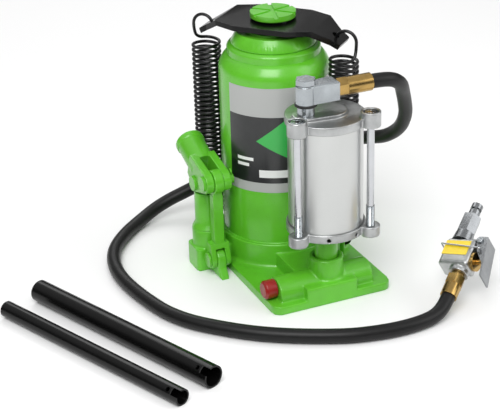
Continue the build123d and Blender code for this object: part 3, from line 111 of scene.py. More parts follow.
@dataclass(frozen=True)
class Finish:
    """A paint, metal or rubber surface, with its grain and its slight unevenness."""

    name: str
    colour: Colour
    roughness: float
    metallic: float = 0.0
    coat: float = 0.0
    shift: float = 0.12
    spots: float = 90.0
    grain: float = 900.0
    depth: float = 0.05
    run: Grain = Grain.EVEN
    specular: float = 0.5

    def _noise(self, tree: bpy.types.NodeTree, scale: float, place: bpy.types.NodeSocket) -> bpy.types.Node:
        """A fractal noise.

        Args:
            tree: the material's nodes.
            scale: how many of its spots lie in a metre.
            place: where it is read.

        Returns:
            The noise's node.
        """
        noise = tree.nodes.new("ShaderNodeTexNoise")
        noise.inputs["Scale"].default_value = scale
        noise.inputs["Detail"].default_value = NOISE_DETAIL
        tree.links.new(place, noise.inputs["Vector"])
        return noise

    def colour_socket(self, tree: bpy.types.NodeTree, place: bpy.types.NodeSocket) -> bpy.types.NodeSocket:
        """The base colour, which wanders a little between a darker and a lighter tone.

        Args:
            tree: the material's nodes.
            place: the object coordinates.

        Returns:
            The colour to link to the shader.
        """
        spots = self._noise(tree, self.spots, place)
        ramp = tree.nodes.new("ShaderNodeValToRGB")
        gains = (1 - self.shift, 1 + self.shift)
        for element, where, gain in zip(ramp.color_ramp.elements, TONE_STOPS, gains):
            element.position = where
            tone = [min(1.0, part * gain) for part in self.colour]
            element.color = (*tone, 1)
        tree.links.new(spots.outputs["Fac"], ramp.inputs["Fac"])
        return ramp.outputs["Color"]

    def material(self) -> bpy.types.Material:
        """The finish as a material, made once and then reused.

        Returns:
            The material.
        """
        made = bpy.data.materials.get(f"{self.name}_finish")
        if made:
            return made
        made = bpy.data.materials.new(f"{self.name}_finish")
        made.use_nodes = True
        tree = made.node_tree
        shader = tree.nodes["Principled BSDF"]
        shader.inputs["Metallic"].default_value = self.metallic
        shader.inputs["Coat Weight"].default_value = self.coat
        shader.inputs["Coat Roughness"].default_value = COAT_ROUGHNESS
        shader.inputs["Specular IOR Level"].default_value = self.specular
        coords = tree.nodes.new("ShaderNodeTexCoord")
        place = coords.outputs["Object"]
        turned = tree.nodes.new("ShaderNodeMapping")
        turned.inputs["Scale"].default_value = self.run.value
        tree.links.new(place, turned.inputs["Vector"])
        grain = self._noise(tree, self.grain, turned.outputs["Vector"])
        rough = tree.nodes.new("ShaderNodeMapRange")
        smoothest = self.roughness * (1 - ROUGHNESS_SPREAD)
        rough.inputs["To Min"].default_value = max(LEAST_ROUGHNESS, smoothest)
        rough.inputs["To Max"].default_value = min(1.0, self.roughness * (1 + ROUGHNESS_SPREAD))
        bump = tree.nodes.new("ShaderNodeBump")
        bump.inputs["Strength"].default_value = self.depth
        bump.inputs["Distance"].default_value = BUMP_DISTANCE
        tree.links.new(grain.outputs["Fac"], rough.inputs["Value"])
        tree.links.new(grain.outputs["Fac"], bump.inputs["Height"])
        tree.links.new(rough.outputs["Result"], shader.inputs["Roughness"])
        tree.links.new(bump.outputs["Normal"], shader.inputs["Normal"])
        tree.links.new(self.colour_socket(tree, place), shader.inputs["Base Color"])
        return made


@dataclass(frozen=True)
class LabelFilm(Finish):
    """A printed wrap in level bands, with a pointed flash of green across the dark one."""

    grey: Colour = (0.43, 0.44, 0.43)
    flash: Colour = (0.03, 0.45, 0.07)
    plate: Colour = (0.82, 0.83, 0.82)
    low_band: float = 103.5
    high_band: float = 176.0
    flash_turn: float = 225.6
    flash_height: float = 149.5
    flash_rise: float = 0.77
    flash_fall: float = 0.57
    plates: tuple[tuple[float, float, float, float], ...] = (
        (228.0, 264.0, 109.7, 118.0),
        (203.0, 222.0, 127.0, 130.5),
        (203.0, 217.0, 120.5, 124.0),
    )

    def _sum(
        self,
        tree: bpy.types.NodeTree,
        what: str,
        first: bpy.types.NodeSocket | float,
        second: bpy.types.NodeSocket | float,
    ) -> bpy.types.NodeSocket:
        """One step of arithmetic.

        Args:
            tree: the material's nodes.
            what: the operation.
            first: its first value, as a socket or a number.
            second: its second value.

        Returns:
            The result.
        """
        node = tree.nodes.new("ShaderNodeMath")
        node.operation = what
        for slot, value in enumerate((first, second)):
            if isinstance(value, float):
                node.inputs[slot].default_value = value
            else:
                tree.links.new(value, node.inputs[slot])
        return node.outputs[0]

    def _between(
        self, tree: bpy.types.NodeTree, value: bpy.types.NodeSocket, low: float, high: float
    ) -> bpy.types.NodeSocket:
        """1 where a value lies between two limits, otherwise 0."""
        over = self._sum(tree, "GREATER_THAN", value, low)
        return self._sum(tree, "MULTIPLY", over, self._sum(tree, "LESS_THAN", value, high))

    def colour_socket(self, tree: bpy.types.NodeTree, place: bpy.types.NodeSocket) -> bpy.types.NodeSocket:
        """The bands by height, and the flash and the blank plates by height and turn.

        Args:
            tree: the material's nodes.
            place: the object coordinates.

        Returns:
            The colour to link to the shader.
        """
        split = tree.nodes.new("ShaderNodeSeparateXYZ")
        tree.links.new(place, split.inputs[0])
        height = self._sum(tree, "MULTIPLY", split.outputs["Z"], 1 / MM)
        around = self._sum(tree, "ARCTAN2", split.outputs["Y"], split.outputs["X"])
        turn = self._sum(tree, "MULTIPLY", around, math.degrees(1.0))
        turn = self._sum(tree, "MODULO", self._sum(tree, "ADD", turn, 360.0), 360.0)
        ahead = self._sum(tree, "SUBTRACT", turn, self.flash_turn)
        above = self._sum(tree, "SUBTRACT", height, self.flash_height)
        top = self._sum(tree, "MULTIPLY", ahead, self.flash_rise)
        bottom = self._sum(tree, "MULTIPLY", ahead, -self.flash_fall)
        under = self._sum(tree, "LESS_THAN", above, top)
        flash = self._sum(tree, "MULTIPLY", under, self._sum(tree, "GREATER_THAN", above, bottom))
        plate: bpy.types.NodeSocket | float = 0.0
        for left, right, low, high in self.plates:
            across = self._between(tree, turn, left, right)
            spot = self._sum(tree, "MULTIPLY", across, self._between(tree, height, low, high))
            plate = self._sum(tree, "MAXIMUM", spot, plate)
        band = self._between(tree, height, self.low_band, self.high_band)
        shown = super().colour_socket(tree, place)
        for mask, outside, inside in (
            (flash, None, self.flash),
            (plate, None, self.plate),
            (band, self.grey, None),
        ):
            shown = self._mixed(tree, mask, outside or shown, inside or shown)
        return shown

    def _mixed(
        self,
        tree: bpy.types.NodeTree,
        mask: bpy.types.NodeSocket,
        outside: bpy.types.NodeSocket | Colour,
        inside: bpy.types.NodeSocket | Colour,
    ) -> bpy.types.NodeSocket:
        """One of two colours, chosen by a mask.

        Args:
            tree: the material's nodes.
            mask: 0 or 1.
            outside: the colour where the mask is 0, as a socket or a plain one.
            inside: the colour where it is 1.

        Returns:
            The colour chosen.
        """
        mix = tree.nodes.new("ShaderNodeMix")
        mix.data_type = "RGBA"
        tree.links.new(mask, mix.inputs["Factor"])
        colours = [socket for socket in mix.inputs if socket.type == "RGBA"]
        for slot, value in zip(colours, (outside, inside)):
            if isinstance(value, tuple):
                slot.default_value = (*value, 1)
            else:
                tree.links.new(value, slot)
        return next(socket for socket in mix.outputs if socket.type == "RGBA")


GREEN = Finish(
    "green_enamel", (0.115, 0.50, 0.022), 0.30, coat=0.35, shift=0.07, spots=30, grain=700, depth=0.10
)
CAST_GREEN = Finish(
    "green_casting", (0.115, 0.50, 0.022), 0.34, coat=0.3, shift=0.08, spots=26, grain=420, depth=0.32
)
BLACK = Finish("black_enamel", (0.003, 0.003, 0.003), 0.24, coat=0.05, grain=600, depth=0.03, specular=0.2)
SPRING = Finish(
    "spring_wire", (0.004, 0.004, 0.0045), 0.30, coat=0.08, specular=0.4, grain=1500, depth=0.06
)
CHROME = Finish(
    "ground_chrome", (0.55, 0.56, 0.58), 0.14, 1.0, shift=0.03, grain=1600, run=Grain.TURNED, depth=0.03
)
STEEL = Finish("zinc_plate", (0.42, 0.45, 0.47), 0.25, 1.0, shift=0.10, spots=60, grain=1200, depth=0.10)
CAST_ALLOY = Finish(
    "cast_alloy", (0.47, 0.48, 0.48), 0.38, 1.0, shift=0.12, spots=70, grain=800, depth=0.35
)
TUBE_ALLOY = Finish(
    "drawn_alloy", (0.60, 0.61, 0.60), 0.33, 1.0, shift=0.02, spots=20, run=Grain.DRAWN, depth=0.05
)
DARK_STEEL = Finish(
    "lever_steel", (0.27, 0.28, 0.29), 0.28, 1.0, shift=0.12, spots=60, grain=1200, depth=0.10
)
BRASS = Finish("turned_brass", (0.46, 0.30, 0.10), 0.24, 1.0, shift=0.10, grain=1300, depth=0.06)
RUBBER = Finish("hose_rubber", (0.006, 0.006, 0.006), 0.42, specular=0.3, grain=1300, depth=0.12)
SEAL = Finish("seal_rubber", (0.014, 0.014, 0.014), 0.55, grain=900, depth=0.10)
RED = Finish("red_enamel", (0.30, 0.010, 0.008), 0.35, coat=0.2, grain=500, depth=0.2)
YELLOW = Finish("yellow_film", (0.90, 0.66, 0.02), 0.35, coat=0.3, shift=0.04, spots=300, grain=600)
LABEL = LabelFilm("label_film", (0.010, 0.011, 0.012), 0.32, coat=0.4, shift=0.15, grain=500, depth=0.04)


# ------------------------------------------------------------------ surfaces
def mesh_piece(name: str, points: np.ndarray, faces: np.ndarray, finish: Finish) -> bpy.types.Object:
    """A piece from its points and faces, with doubles merged and its faces turned outwards.

    Args:
        name: the piece's name.
        points: rows of x, y, z in millimetres.
        faces: rows of four point numbers.
        finish: its surface.

    Returns:
        The object, at the origin, with its place in its mesh.
    """
    mesh = bpy.data.meshes.new(name)
    mesh.from_pydata((points * MM).tolist(), [], faces.tolist())
    shape = bmesh.new()
    shape.from_mesh(mesh)
    bmesh.ops.remove_doubles(shape, verts=shape.verts, dist=WELD)
    bmesh.ops.recalc_face_normals(shape, faces=shape.faces)
    shape.to_mesh(mesh)
    shape.free()
    mesh.shade_smooth()
    mesh.set_sharp_from_angle(angle=CREASE)
    piece = bpy.data.objects.new(name, mesh)
    bpy.context.scene.collection.objects.link(piece)
    mesh.materials.append(finish.material())
    return piece


def grid_faces(rows: int, columns: int, first: int = 0) -> np.ndarray:
    """The quads of a grid that closes on itself across its columns.

    Args:
        rows: the number of points along the first parameter.
        columns: the number of points round the second, closed parameter.
        first: the number of the grid's first point.

    Returns:
        Rows of four point numbers.
    """
    row, column = np.meshgrid(np.arange(rows - 1), np.arange(columns), indexing="ij")
    after = (column + 1) % columns
    here, above = row * columns, (row + 1) * columns
    corners = (here + column, here + after, above + after, above + column)
    return first + np.stack(corners, axis=-1).reshape(-1, 4)


def soften(profile: list[tuple[float, float]], radius: float, steps: int = 5) -> np.ndarray:
    """Round the inner corners of an open profile: each becomes a parabola between its two sides.

    Args:
        profile: points of radius and height.
        radius: how far from each corner its curve starts.
        steps: the points on each curve.

    Returns:
        The rounded profile.
    """
    points = np.array(profile, float)
    corner, before, after = points[1:-1], points[:-2] - points[1:-1], points[2:] - points[1:-1]
    near = np.minimum(radius / np.linalg.norm(before, axis=1), 0.48)[:, None]
    far = np.minimum(radius / np.linalg.norm(after, axis=1), 0.48)[:, None]
    share = np.linspace(0, 1, steps)[None, :, None]
    start, end = (corner + before * near)[:, None], (corner + after * far)[:, None]
    curve = start * (1 - share) ** 2 + 2 * corner[:, None] * share * (1 - share) + end * share**2
    return np.vstack((points[:1], curve.reshape(-1, 2), points[-1:]))


def lathe(
    name: str, profile: np.ndarray, centres: list[Point], finish: Finish, columns: int = 96
) -> bpy.types.Object:
    """A turned shape: the profile's radius is swept round an upright axis at its height, at each centre.

    Args:
        name: the piece's name.
        profile: points of radius and height above the centre.
        centres: where the axis starts, once for each copy.
        finish: its surface.
        columns: the points round the axis.

    Returns:
        One piece that holds every copy.
    """
    turn = np.linspace(0, 2 * math.pi, columns, endpoint=False)
    radius, height = profile[:, :1], profile[:, 1:]
    level = np.broadcast_to(height, (len(profile), columns))
    shape = np.stack((radius * np.sin(turn), -radius * np.cos(turn), level), -1)
    return repeated(name, shape, centres, finish)


def repeated(name: str, shape: np.ndarray, centres: list[Point], finish: Finish) -> bpy.types.Object:
    """One piece from a closed grid of points, set down at each centre.

    Args:
        name: the piece's name.
        shape: the grid's points, as rows, columns and x, y, z.
        centres: where each copy's origin stands.
        finish: its surface.

    Returns:
        The piece that holds every copy.
    """
    count, columns = shape.shape[:2]
    rows = [np.array(centre) + shape.reshape(-1, 3) for centre in centres]
    faces = [grid_faces(count, columns, copy * count * columns) for copy in range(len(centres))]
    return mesh_piece(name, np.vstack(rows), np.vstack(faces), finish)


def threaded(
    name: str,
    radius: float,
    pitch: float,
    cut: float,
    length: float,
    centres: list[Point],
    finish: Finish,
    columns: int = 40,
) -> bpy.types.Object:
    """A screw thread: the radius falls by the cut in a rounded V that climbs one pitch in each turn.

    Args:
        name: the piece's name.
        radius: over the crests.
        pitch: the climb in one turn.
        cut: the thread's depth.
        length: how far it climbs.
        centres: the bottom of each copy's upright axis.
        finish: its surface.
        columns: the points round the axis.

    Returns:
        One piece that holds every copy.
    """
    heights = np.linspace(0, length, int(THREAD_STEPS * length / pitch))
    turn = np.linspace(0, 2 * math.pi, columns, endpoint=False)
    phase = heights[:, None] / pitch - turn[None] / (2 * math.pi)
    fade = np.clip(np.minimum(heights, length - heights) / pitch, 0, 1)[:, None]
    size = radius - cut * fade * np.abs(2 * (phase % 1) - 1) ** THREAD_FLANK
    level = np.broadcast_to(heights[:, None], size.shape)
    shape = np.stack((size * np.cos(turn), size * np.sin(turn), level), -1)
    closed = np.concatenate((shape[:1] * UP, shape, shape[-1:] * UP))
    return repeated(name, closed, centres, finish)


class Edge(Enum):
    """How the edges of a finished copy of a solid are made."""

    BROKEN = "a small rounded bevel"
    CAST = "softened all over, also in its inner corners"
    DRAWN = "left as it is"


def body_of_node(node: str) -> str:
    """The rigid body that a CAD node belongs to."""
    return frame["nodes"][node]["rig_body"]


def dressed(node: str, finish: Finish, edge: Edge = Edge.BROKEN, size: float = 0.5) -> bpy.types.Object:
    """A finished copy of a CAD node, which it stands for.

    Args:
        node: the CAD node's name.
        finish: its surface.
        edge: how its edges are made.
        size: the bevel's width, or the step of the softening, in millimetres.

    Returns:
        The piece, riding with the node's body.
    """
    name = f"{node}_finished"
    source = frame["nodes"][node]
    mesh = source.data.copy()
    mesh.name = name
    mesh.materials.clear()
    mesh.materials.append(finish.material())
    shape = bmesh.new()
    shape.from_mesh(mesh)
    for face in shape.faces:
        face.material_index = 0
    bmesh.ops.remove_doubles(shape, verts=shape.verts, dist=COPY_WELD)
    bmesh.ops.dissolve_limit(shape, angle_limit=FLAT, verts=shape.verts, edges=shape.edges)
    shape.to_mesh(mesh)
    shape.free()
    if "custom_normal" in mesh.attributes:
        mesh.attributes.remove(mesh.attributes["custom_normal"])
    mesh.shade_smooth()
    mesh.set_sharp_from_angle(angle=SHARP)
    piece = bpy.data.objects.new(name, mesh)
    bpy.context.scene.collection.objects.link(piece)
    if edge is Edge.BROKEN:
        bevel = piece.modifiers.new("broken_edges", "BEVEL")
        bevel.width = size * MM
        bevel.segments = BEVEL_STEPS
        bevel.limit_method = "ANGLE"
        bevel.angle_limit = BEVELLED
        bevel.harden_normals = True
        bevel.miter_outer = "MITER_ARC"
    elif edge is Edge.CAST:
        skin = piece.modifiers.new("cast_skin", "REMESH")
        skin.mode = "VOXEL"
        skin.voxel_size = size * MM
        skin.use_smooth_shade = True
        relax = piece.modifiers.new("cast_corners", "SMOOTH")
        relax.factor = 0.5
        relax.iterations = RELAX_STEPS
    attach(piece, body_of_node(node))
    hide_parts(node)
    LOG.info("finished %s", node)
    return piece


def sprung(node: str) -> None:
    """Finish a spring that stands on the jack: it is taken off its body and its place is baked into its
    mesh.

    Args:
        node: the CAD node's name.
    """
    piece = dressed(node, SPRING, Edge.DRAWN)
    del piece["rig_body"]
    piece.parent = None
    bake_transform(piece)


def added(piece: bpy.types.Object, like: str) -> bpy.types.Object:
    """Let a new piece ride with a CAD node's body.

    Args:
        piece: the new piece.
        like: the CAD node's name.

    Returns:
        The same piece.
    """
    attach(piece, body_of_node(like))
    LOG.info("added %s", piece.name)
    return piece


def middle(node: str) -> np.ndarray:
    """The middle of a CAD node's box, in millimetres."""
    low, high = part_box(node)
    return np.array((low + high) / 2) / MM


# ------------------------------------------------------------------ sub-assemblies
@dataclass
class BaseCasting:
    """The green base with its collar, bosses and the release valve."""

    collar_radius: float = 61.2
    plate_top: float = 9.0
    collar_top: float = 34.8
    tube_radius: float = 57.3
    corner: float = 4.4
    sunk: tuple[float, float] = (1.0, 0.6)
    boss_radius: float = 17.5
    boss_foot: float = 22.0
    boss_share: float = 0.8
    seam: float = 1.3
    seam_stand: float = 0.3

    def build(self) -> None:
        """Make and dress every piece of the base."""
        dressed("base_casting", CAST_GREEN, Edge.CAST, 1.0)
        dressed("relief_plug", STEEL)
        dressed("release_knob", RED, Edge.BROKEN, 0.7)
        dressed("release_spindle", STEEL)
        dressed("check_valve_balls", STEEL, Edge.DRAWN)
        self.fillets()

    def fillets(self) -> None:
        """The cast corners at the foot of the collar and the boss, and the seam round the reservoir.

        Each is a quarter hollow turned round an upright axis; the seam is a half bead.
        """
        sweep = np.linspace(0, math.pi / 2, 9)
        hollow = self.corner * np.stack((1 - np.sin(sweep), 1 - np.cos(sweep)), -1)
        side, under = self.sunk
        inner = np.array([[-side, self.corner], [-side, -under], [self.corner, -under], [self.corner, 0.0]])
        loop = np.vstack((hollow, inner, hollow[:1]))
        collar = loop + (self.collar_radius, 0)
        boss = loop * self.boss_share + (self.boss_radius, 0)
        turn = np.linspace(0, 2 * math.pi, 17)
        stand = self.tube_radius + self.seam_stand
        bead = np.stack((stand + self.seam * np.cos(turn), self.seam * np.sin(turn)), -1)
        centre = middle("motor_sleeve")
        for name, profile, place, columns in (
            ("collar_fillet", collar, (0, 0, self.plate_top), 160),
            ("boss_fillet", boss, (centre[0], centre[1], self.boss_foot), 96),
            ("reservoir_seam", bead, (0, 0, self.collar_top), 160),
        ):
            added(lathe(name, profile, [place], CAST_GREEN, columns), "base_casting")


@dataclass
class Reservoir:
    """The reservoir, its cap, its printed wrap, and the ram with its screw and saddle."""

    tube_radius: float = 57.3
    wall: float = 3.0
    foot: float = 28.8
    shoulder: tuple[tuple[float, float], ...] = ((57.3, 216.0), (52.6, 224.5), (49.3, 227.6))
    neck_ring: tuple[tuple[float, float], ...] = ((48.4, 227.9), (48.3, 235.0), (45.6, 237.9), (42.2, 238.0))
    neck_inside: tuple[tuple[float, float], ...] = ((42.2, 234.0), (46.0, 224.0))
    wall_top: float = 212.0
    shoulder_curve: float = 5.0
    ring_curve: float = 1.2
    screw_pitch: float = 5.0
    screw_cut: float = 1.9
    screw_plain: float = 4.5

    def build(self) -> None:
        """Make and dress every piece on the ram's axis."""
        outside = soften([(self.tube_radius, self.foot), *self.shoulder], self.shoulder_curve, 9)
        ring = soften(list(self.neck_ring), self.ring_curve)
        bore = self.tube_radius - self.wall
        inside = [*self.neck_inside, (bore, self.wall_top), (bore, self.foot)]
        profile = np.vstack((outside, ring, inside, outside[:1]))
        tube = added(lathe("reservoir_shell", profile, [(0, 0, 0)], GREEN, 192), "reservoir_tube")
        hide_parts("reservoir_tube")
        dressed("label_sleeve", LABEL, Edge.DRAWN)
        dressed("top_nut", GREEN, Edge.BROKEN, 0.9)
        dressed("filler_plug", SEAL)
        dressed("ram_wiper_seal", SEAL, Edge.DRAWN)
        dressed("lift_cylinder", STEEL, Edge.DRAWN)
        dressed("ram", CHROME, Edge.BROKEN, 0.5)
        dressed("ram_piston_seal", SEAL, Edge.DRAWN)
        dressed("screw_stop_ring", STEEL, Edge.DRAWN)
        dressed("saddle", GREEN, Edge.BROKEN, 0.8)
        self.screw()

    def screw(self) -> None:
        """The extension screw with its thread cut, over the length of its solid."""
        low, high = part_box("extension_screw")
        radius = (high.x - low.x) / 2 / MM
        length = (high.z - low.z) / MM - self.screw_plain
        centre = (0.0, 0.0, low.z / MM)
        screw = threaded(
            "screw_thread", radius, self.screw_pitch, self.screw_cut, length, [centre], STEEL, 56
        )
        added(screw, "extension_screw")
        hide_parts("extension_screw")


@dataclass
class ReturnSprings:
    """The bar across the ram's shoulder and the two long springs that draw it down."""

    heading: Point = (0.669, -0.743, 0.0)
    reach: float = 76.5
    low: float = 38.0
    high: float = 232.0

    def build(self) -> None:
        """Dress the bar and each spring; each spring is taken off its body where it stands, between the base
        and the bar.
        """
        dressed("spring_bar", BLACK, Edge.BROKEN, 1.1)
        for node, side in (("return_spring_left", -1), ("return_spring_right", 1)):
            sprung(node)


@dataclass
class HandPump:
    """The pump barrel, its plunger, the link and the handle socket."""

    def build(self) -> None:
        """Dress every piece of the hand pump."""
        dressed("pump_cylinder", GREEN, Edge.BROKEN, 1.0)
        dressed("pump_gland_seal", SEAL, Edge.DRAWN)
        dressed("plunger_seal", SEAL, Edge.DRAWN)
        dressed("pump_plunger", CHROME, Edge.BROKEN, 0.6)
        dressed("link_bar", CAST_GREEN, Edge.CAST, 0.45)
        dressed("handle_socket", CAST_GREEN, Edge.CAST, 0.55)
        for pin in ("link_lower_pin", "link_upper_pin", "plunger_pin"):
            dressed(pin, GREEN, Edge.BROKEN, 0.7)
        dressed("socket_cotters", GREEN, Edge.BROKEN, 0.3)


@dataclass
class AirMotor:
    """The air cylinder with its cast heads, tie rods and swivel."""

    thread_radius: float = 4.3
    thread_pitch: float = 1.25
    thread_cut: float = 0.6
    thread_length: float = 22.0
    rod_circle: float = 45.8
    spring_foot: float = 84.5
    rod_turns: tuple[float, ...] = (-152.3, -42.6, 82.5)

    def build(self) -> None:
        """Make and dress every piece of the motor."""
        dressed("motor_sleeve", GREEN, Edge.BROKEN, 0.6)
        dressed("motor_bottom_head", CAST_ALLOY, Edge.CAST, 0.75)
        dressed("motor_top_head", CAST_ALLOY, Edge.CAST, 0.75)
        dressed("motor_cylinder", TUBE_ALLOY, Edge.BROKEN, 0.4)
        dressed("motor_gaskets", SEAL, Edge.DRAWN)
        dressed("motor_tie_rods", CHROME, Edge.BROKEN, 0.3)
        dressed("motor_rod_nuts", STEEL, Edge.BROKEN, 0.5)
        dressed("air_piston", CAST_ALLOY, Edge.BROKEN, 0.5)
        dressed("air_piston_seal", SEAL, Edge.DRAWN)
        dressed("air_plunger", CHROME, Edge.BROKEN, 0.4)
        dressed("swivel_stem", STEEL, Edge.BROKEN, 0.6)
        dressed("swivel_seal", SEAL, Edge.BROKEN, 0.4)
        dressed("swivel_block", STEEL, Edge.BROKEN, 1.0)
        dressed("swivel_bolt", STEEL, Edge.BROKEN, 1.0)
        dressed("hose_elbow_fitting", BRASS, Edge.BROKEN, 0.8)
        centre = middle("motor_cylinder")
        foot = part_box("motor_cylinder")[0].z / MM
        sprung("air_return_spring")
        turns = np.radians(self.rod_turns)
        circle = self.rod_circle * np.stack((np.cos(turns), np.sin(turns)), -1) + centre[:2]
        places = [(x, y, foot) for x, y in circle]
        rods = threaded(
            "tie_rod_threads", self.thread_radius, self.thread_pitch, self.thread_cut, self.thread_length,
            places, STEEL, 24,
        )
        added(rods, "motor_tie_rods")


@dataclass
class AirLine:
    """The rubber hose, on one smooth line from the motor's swivel to the inlet valve."""

    radius: float = 7.3
    length: float = 1.044
    route: tuple[Point, ...] = (
        (49, -117, 224), (70, -117, 224), (88, -109, 213), (99, -93, 197), (109, -80, 179),
        (118, -67, 159), (123, -47, 135), (119, -22, 116.5), (112.5, 3, 107.5), (100, 30, 98),
        (80, 56, 87), (56, 77, 77), (-9, 110, 52), (-48, 122.5, 32), (-85, 128, 18),
        (-116, 116.5, 8), (-145, 91, 7.6), (-170, 56.5, 7.6), (-181, 10.5, 7.6), (-176.5, -43.5, 7.6),
        (-160.5, -107, 7.6), (-119.5, -153.5, 7.6), (-82.5, -183, 7.6), (-28, -212, 7.6), (6, -220.5, 7.6),
        (32, -223, 7.6), (52.5, -221.5, 7.6), (69, -218, 8.2), (81.8, -212.6, 12.6), (91, -205.5, 18.5),
    )

    def build(self, on_it: list[bpy.types.Object]) -> None:
        """Args:
            on_it: the pieces of the valve at its end; not used.
        """
        curve = bpy.data.curves.new("air_hose_line", "CURVE")
        curve.dimensions = "3D"
        curve.bevel_depth = self.radius * MM
        curve.bevel_resolution = 8
        curve.resolution_u = 10
        curve.use_fill_caps = True
        line = curve.splines.new("NURBS")
        line.points.add(len(self.route) - 1)
        places = np.array(self.route) * MM
        line.points.foreach_set("co", np.hstack((places, np.ones((len(places), 1)))).ravel())
        line.order_u = 3
        line.use_endpoint_u = True
        curve.materials.append(RUBBER.material())
        piece = bpy.data.objects.new("air_hose_line", curve)
        bpy.context.scene.collection.objects.link(piece)
        added(piece, "air_hose")
        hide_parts("air_hose")


@dataclass
class InletValve:
    """The lever valve at the end of the hose, with its quick-connect plug."""

    pieces: list[bpy.types.Object] = field(default_factory=list)

    def build(self) -> list[bpy.types.Object]:
        """Dress every piece of the valve.

        Returns:
            The pieces, which are handed on to the hose's build.
        """
        looks = (
            ("valve_hose_fitting", BRASS, Edge.BROKEN, 0.7),
            ("valve_body", CAST_ALLOY, Edge.CAST, 0.5),
            ("valve_sticker", YELLOW, Edge.DRAWN, 0.0),
            ("valve_nipple", DARK_STEEL, Edge.BROKEN, 0.6),
            ("valve_cartridge", BRASS, Edge.BROKEN, 0.4),
            ("trigger_lever", DARK_STEEL, Edge.BROKEN, 0.4),
            ("trigger_pin", STEEL, Edge.BROKEN, 0.4),
            ("valve_stem", BRASS, Edge.BROKEN, 0.4),
            ("wire_bail", CHROME, Edge.DRAWN, 0.0),
        )
        self.pieces = [dressed(*look) for look in looks]
        return self.pieces


@dataclass
class HandleTubes:
    """The two loose tubes of the handle."""

    edge: float = 0.4

    def build(self) -> None:
        """Dress both tubes."""
        dressed("handle_lower_tube", BLACK, Edge.BROKEN, self.edge)
        dressed("handle_upper_tube", BLACK, Edge.BROKEN, self.edge)


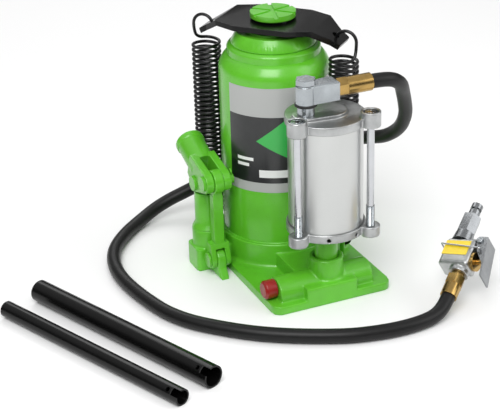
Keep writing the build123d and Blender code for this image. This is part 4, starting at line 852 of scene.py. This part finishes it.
@dataclass
class Studio:
    """The camera, the pale floor and the soft lights."""

    lens: float = 112.5
    elevation: float = 25.6
    azimuth: float = -23.3
    roll: float = -1.7
    place: Point = (-0.6238, -1.3752, 0.7726)
    floor_colour: Colour = (0.93, 0.93, 0.93)
    floor_half: float = 6.0
    aim: Point = (0.0, -0.05, 0.12)
    lamps: tuple[tuple[str, Point, float, float], ...] = (
        ("key_lamp", (-0.75, -1.1, 1.5), 1.1, 24.0),
        ("fill_lamp", (1.3, -0.9, 0.9), 1.2, 9.0),
        ("rim_lamp", (0.2, 1.3, 1.4), 1.0, 8.0),
    )
    sky: float = 0.7
    sky_steps: tuple[tuple[float, float], ...] = ((0.0, 0.05), (0.75, 0.95), (0.30, 0.16), (0.50, 0.75))

    def build(self) -> None:
        """Set up the camera, the floor, the world and the lamps."""
        self.camera()
        self.floor()
        self.world()
        for name, place, size, power in self.lamps:
            self.lamp(name, Vector(place), size, power)

    def camera(self) -> None:
        """A camera turned by its azimuth, elevation and roll, in the row frame."""
        turn, tip, roll = (math.radians(angle) for angle in (self.azimuth, self.elevation, self.roll))
        back = Vector((math.sin(turn) * math.cos(tip), -math.cos(turn) * math.cos(tip), math.sin(tip)))
        right = Vector((math.cos(turn), math.sin(turn), 0.0))
        up = back.cross(right)
        level = right * math.cos(roll) + up * math.sin(roll)
        upright = up * math.cos(roll) - right * math.sin(roll)
        data = bpy.data.cameras.new("camera")
        data.lens = self.lens
        data.sensor_width = 36.0
        data.sensor_fit = "HORIZONTAL"
        data.clip_end = 50.0
        camera = bpy.data.objects.new("camera", data)
        bpy.context.scene.collection.objects.link(camera)
        turned = Matrix((level, upright, back)).transposed().to_4x4()
        camera.matrix_world = Matrix.Translation(self.place) @ turned
        bpy.context.scene.camera = camera

    def floor(self) -> None:
        """A wide pale floor, which fills the frame behind the object and takes its shadow."""
        mesh = bpy.data.meshes.new("floor")
        half = self.floor_half
        corners = [(-half, -half, 0.0), (half, -half, 0.0), (half, half, 0.0), (-half, half, 0.0)]
        mesh.from_pydata(corners, [], [(0, 1, 2, 3)])
        floor = bpy.data.objects.new("floor", mesh)
        bpy.context.scene.collection.objects.link(floor)
        paint = bpy.data.materials.new("floor_paint")
        paint.use_nodes = True
        shader = paint.node_tree.nodes["Principled BSDF"]
        shader.inputs["Base Color"].default_value = (*self.floor_colour, 1)
        shader.inputs["Roughness"].default_value = 0.9
        shader.inputs["Specular IOR Level"].default_value = 0.1
        mesh.materials.append(paint)

    def world(self) -> None:
        """A surround, pale overhead and dark low down, so that bright metal has something to mirror."""
        world = bpy.data.worlds.new("surround")
        world.use_nodes = True
        tree = world.node_tree
        sky = tree.nodes["Background"]
        sky.inputs["Strength"].default_value = self.sky
        coords = tree.nodes.new("ShaderNodeTexCoord")
        split = tree.nodes.new("ShaderNodeSeparateXYZ")
        ramp = tree.nodes.new("ShaderNodeValToRGB")
        for stop, (where, tone) in enumerate(self.sky_steps):
            element = ramp.color_ramp.elements[stop] if stop < 2 else ramp.color_ramp.elements.new(where)
            element.position = where
            element.color = (tone, tone, tone, 1)
        tree.links.new(coords.outputs["Generated"], split.inputs[0])
        tree.links.new(split.outputs["Z"], ramp.inputs["Fac"])
        tree.links.new(ramp.outputs["Color"], sky.inputs["Color"])
        bpy.context.scene.world = world

    def lamp(self, name: str, place: Vector, size: float, power: float) -> None:
        """A square soft light that faces the object.

        Args:
            name: the lamp's name.
            place: where it stands, in metres.
            size: the length of its side.
            power: in watts.
        """
        data = bpy.data.lights.new(name, "AREA")
        data.size = size
        data.energy = power
        lamp = bpy.data.objects.new(name, data)
        bpy.context.scene.collection.objects.link(lamp)
        lamp.location = place
        lamp.rotation_euler = (Vector(self.aim) - place).to_track_quat("-Z", "Y").to_euler()


def main() -> None:
    """Build the sub-assemblies in order."""
    logging.basicConfig(level=logging.INFO, format="%(name)s: %(message)s")
    bpy.context.scene.view_settings.view_transform = "Standard"
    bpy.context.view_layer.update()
    Studio().build()
    valve = InletValve().build()
    AirLine().build(valve)
    for assembly in (BaseCasting(), Reservoir(), ReturnSprings(), HandPump(), AirMotor(), HandleTubes()):
        assembly.build()


if __name__ == "__main__":
    main()
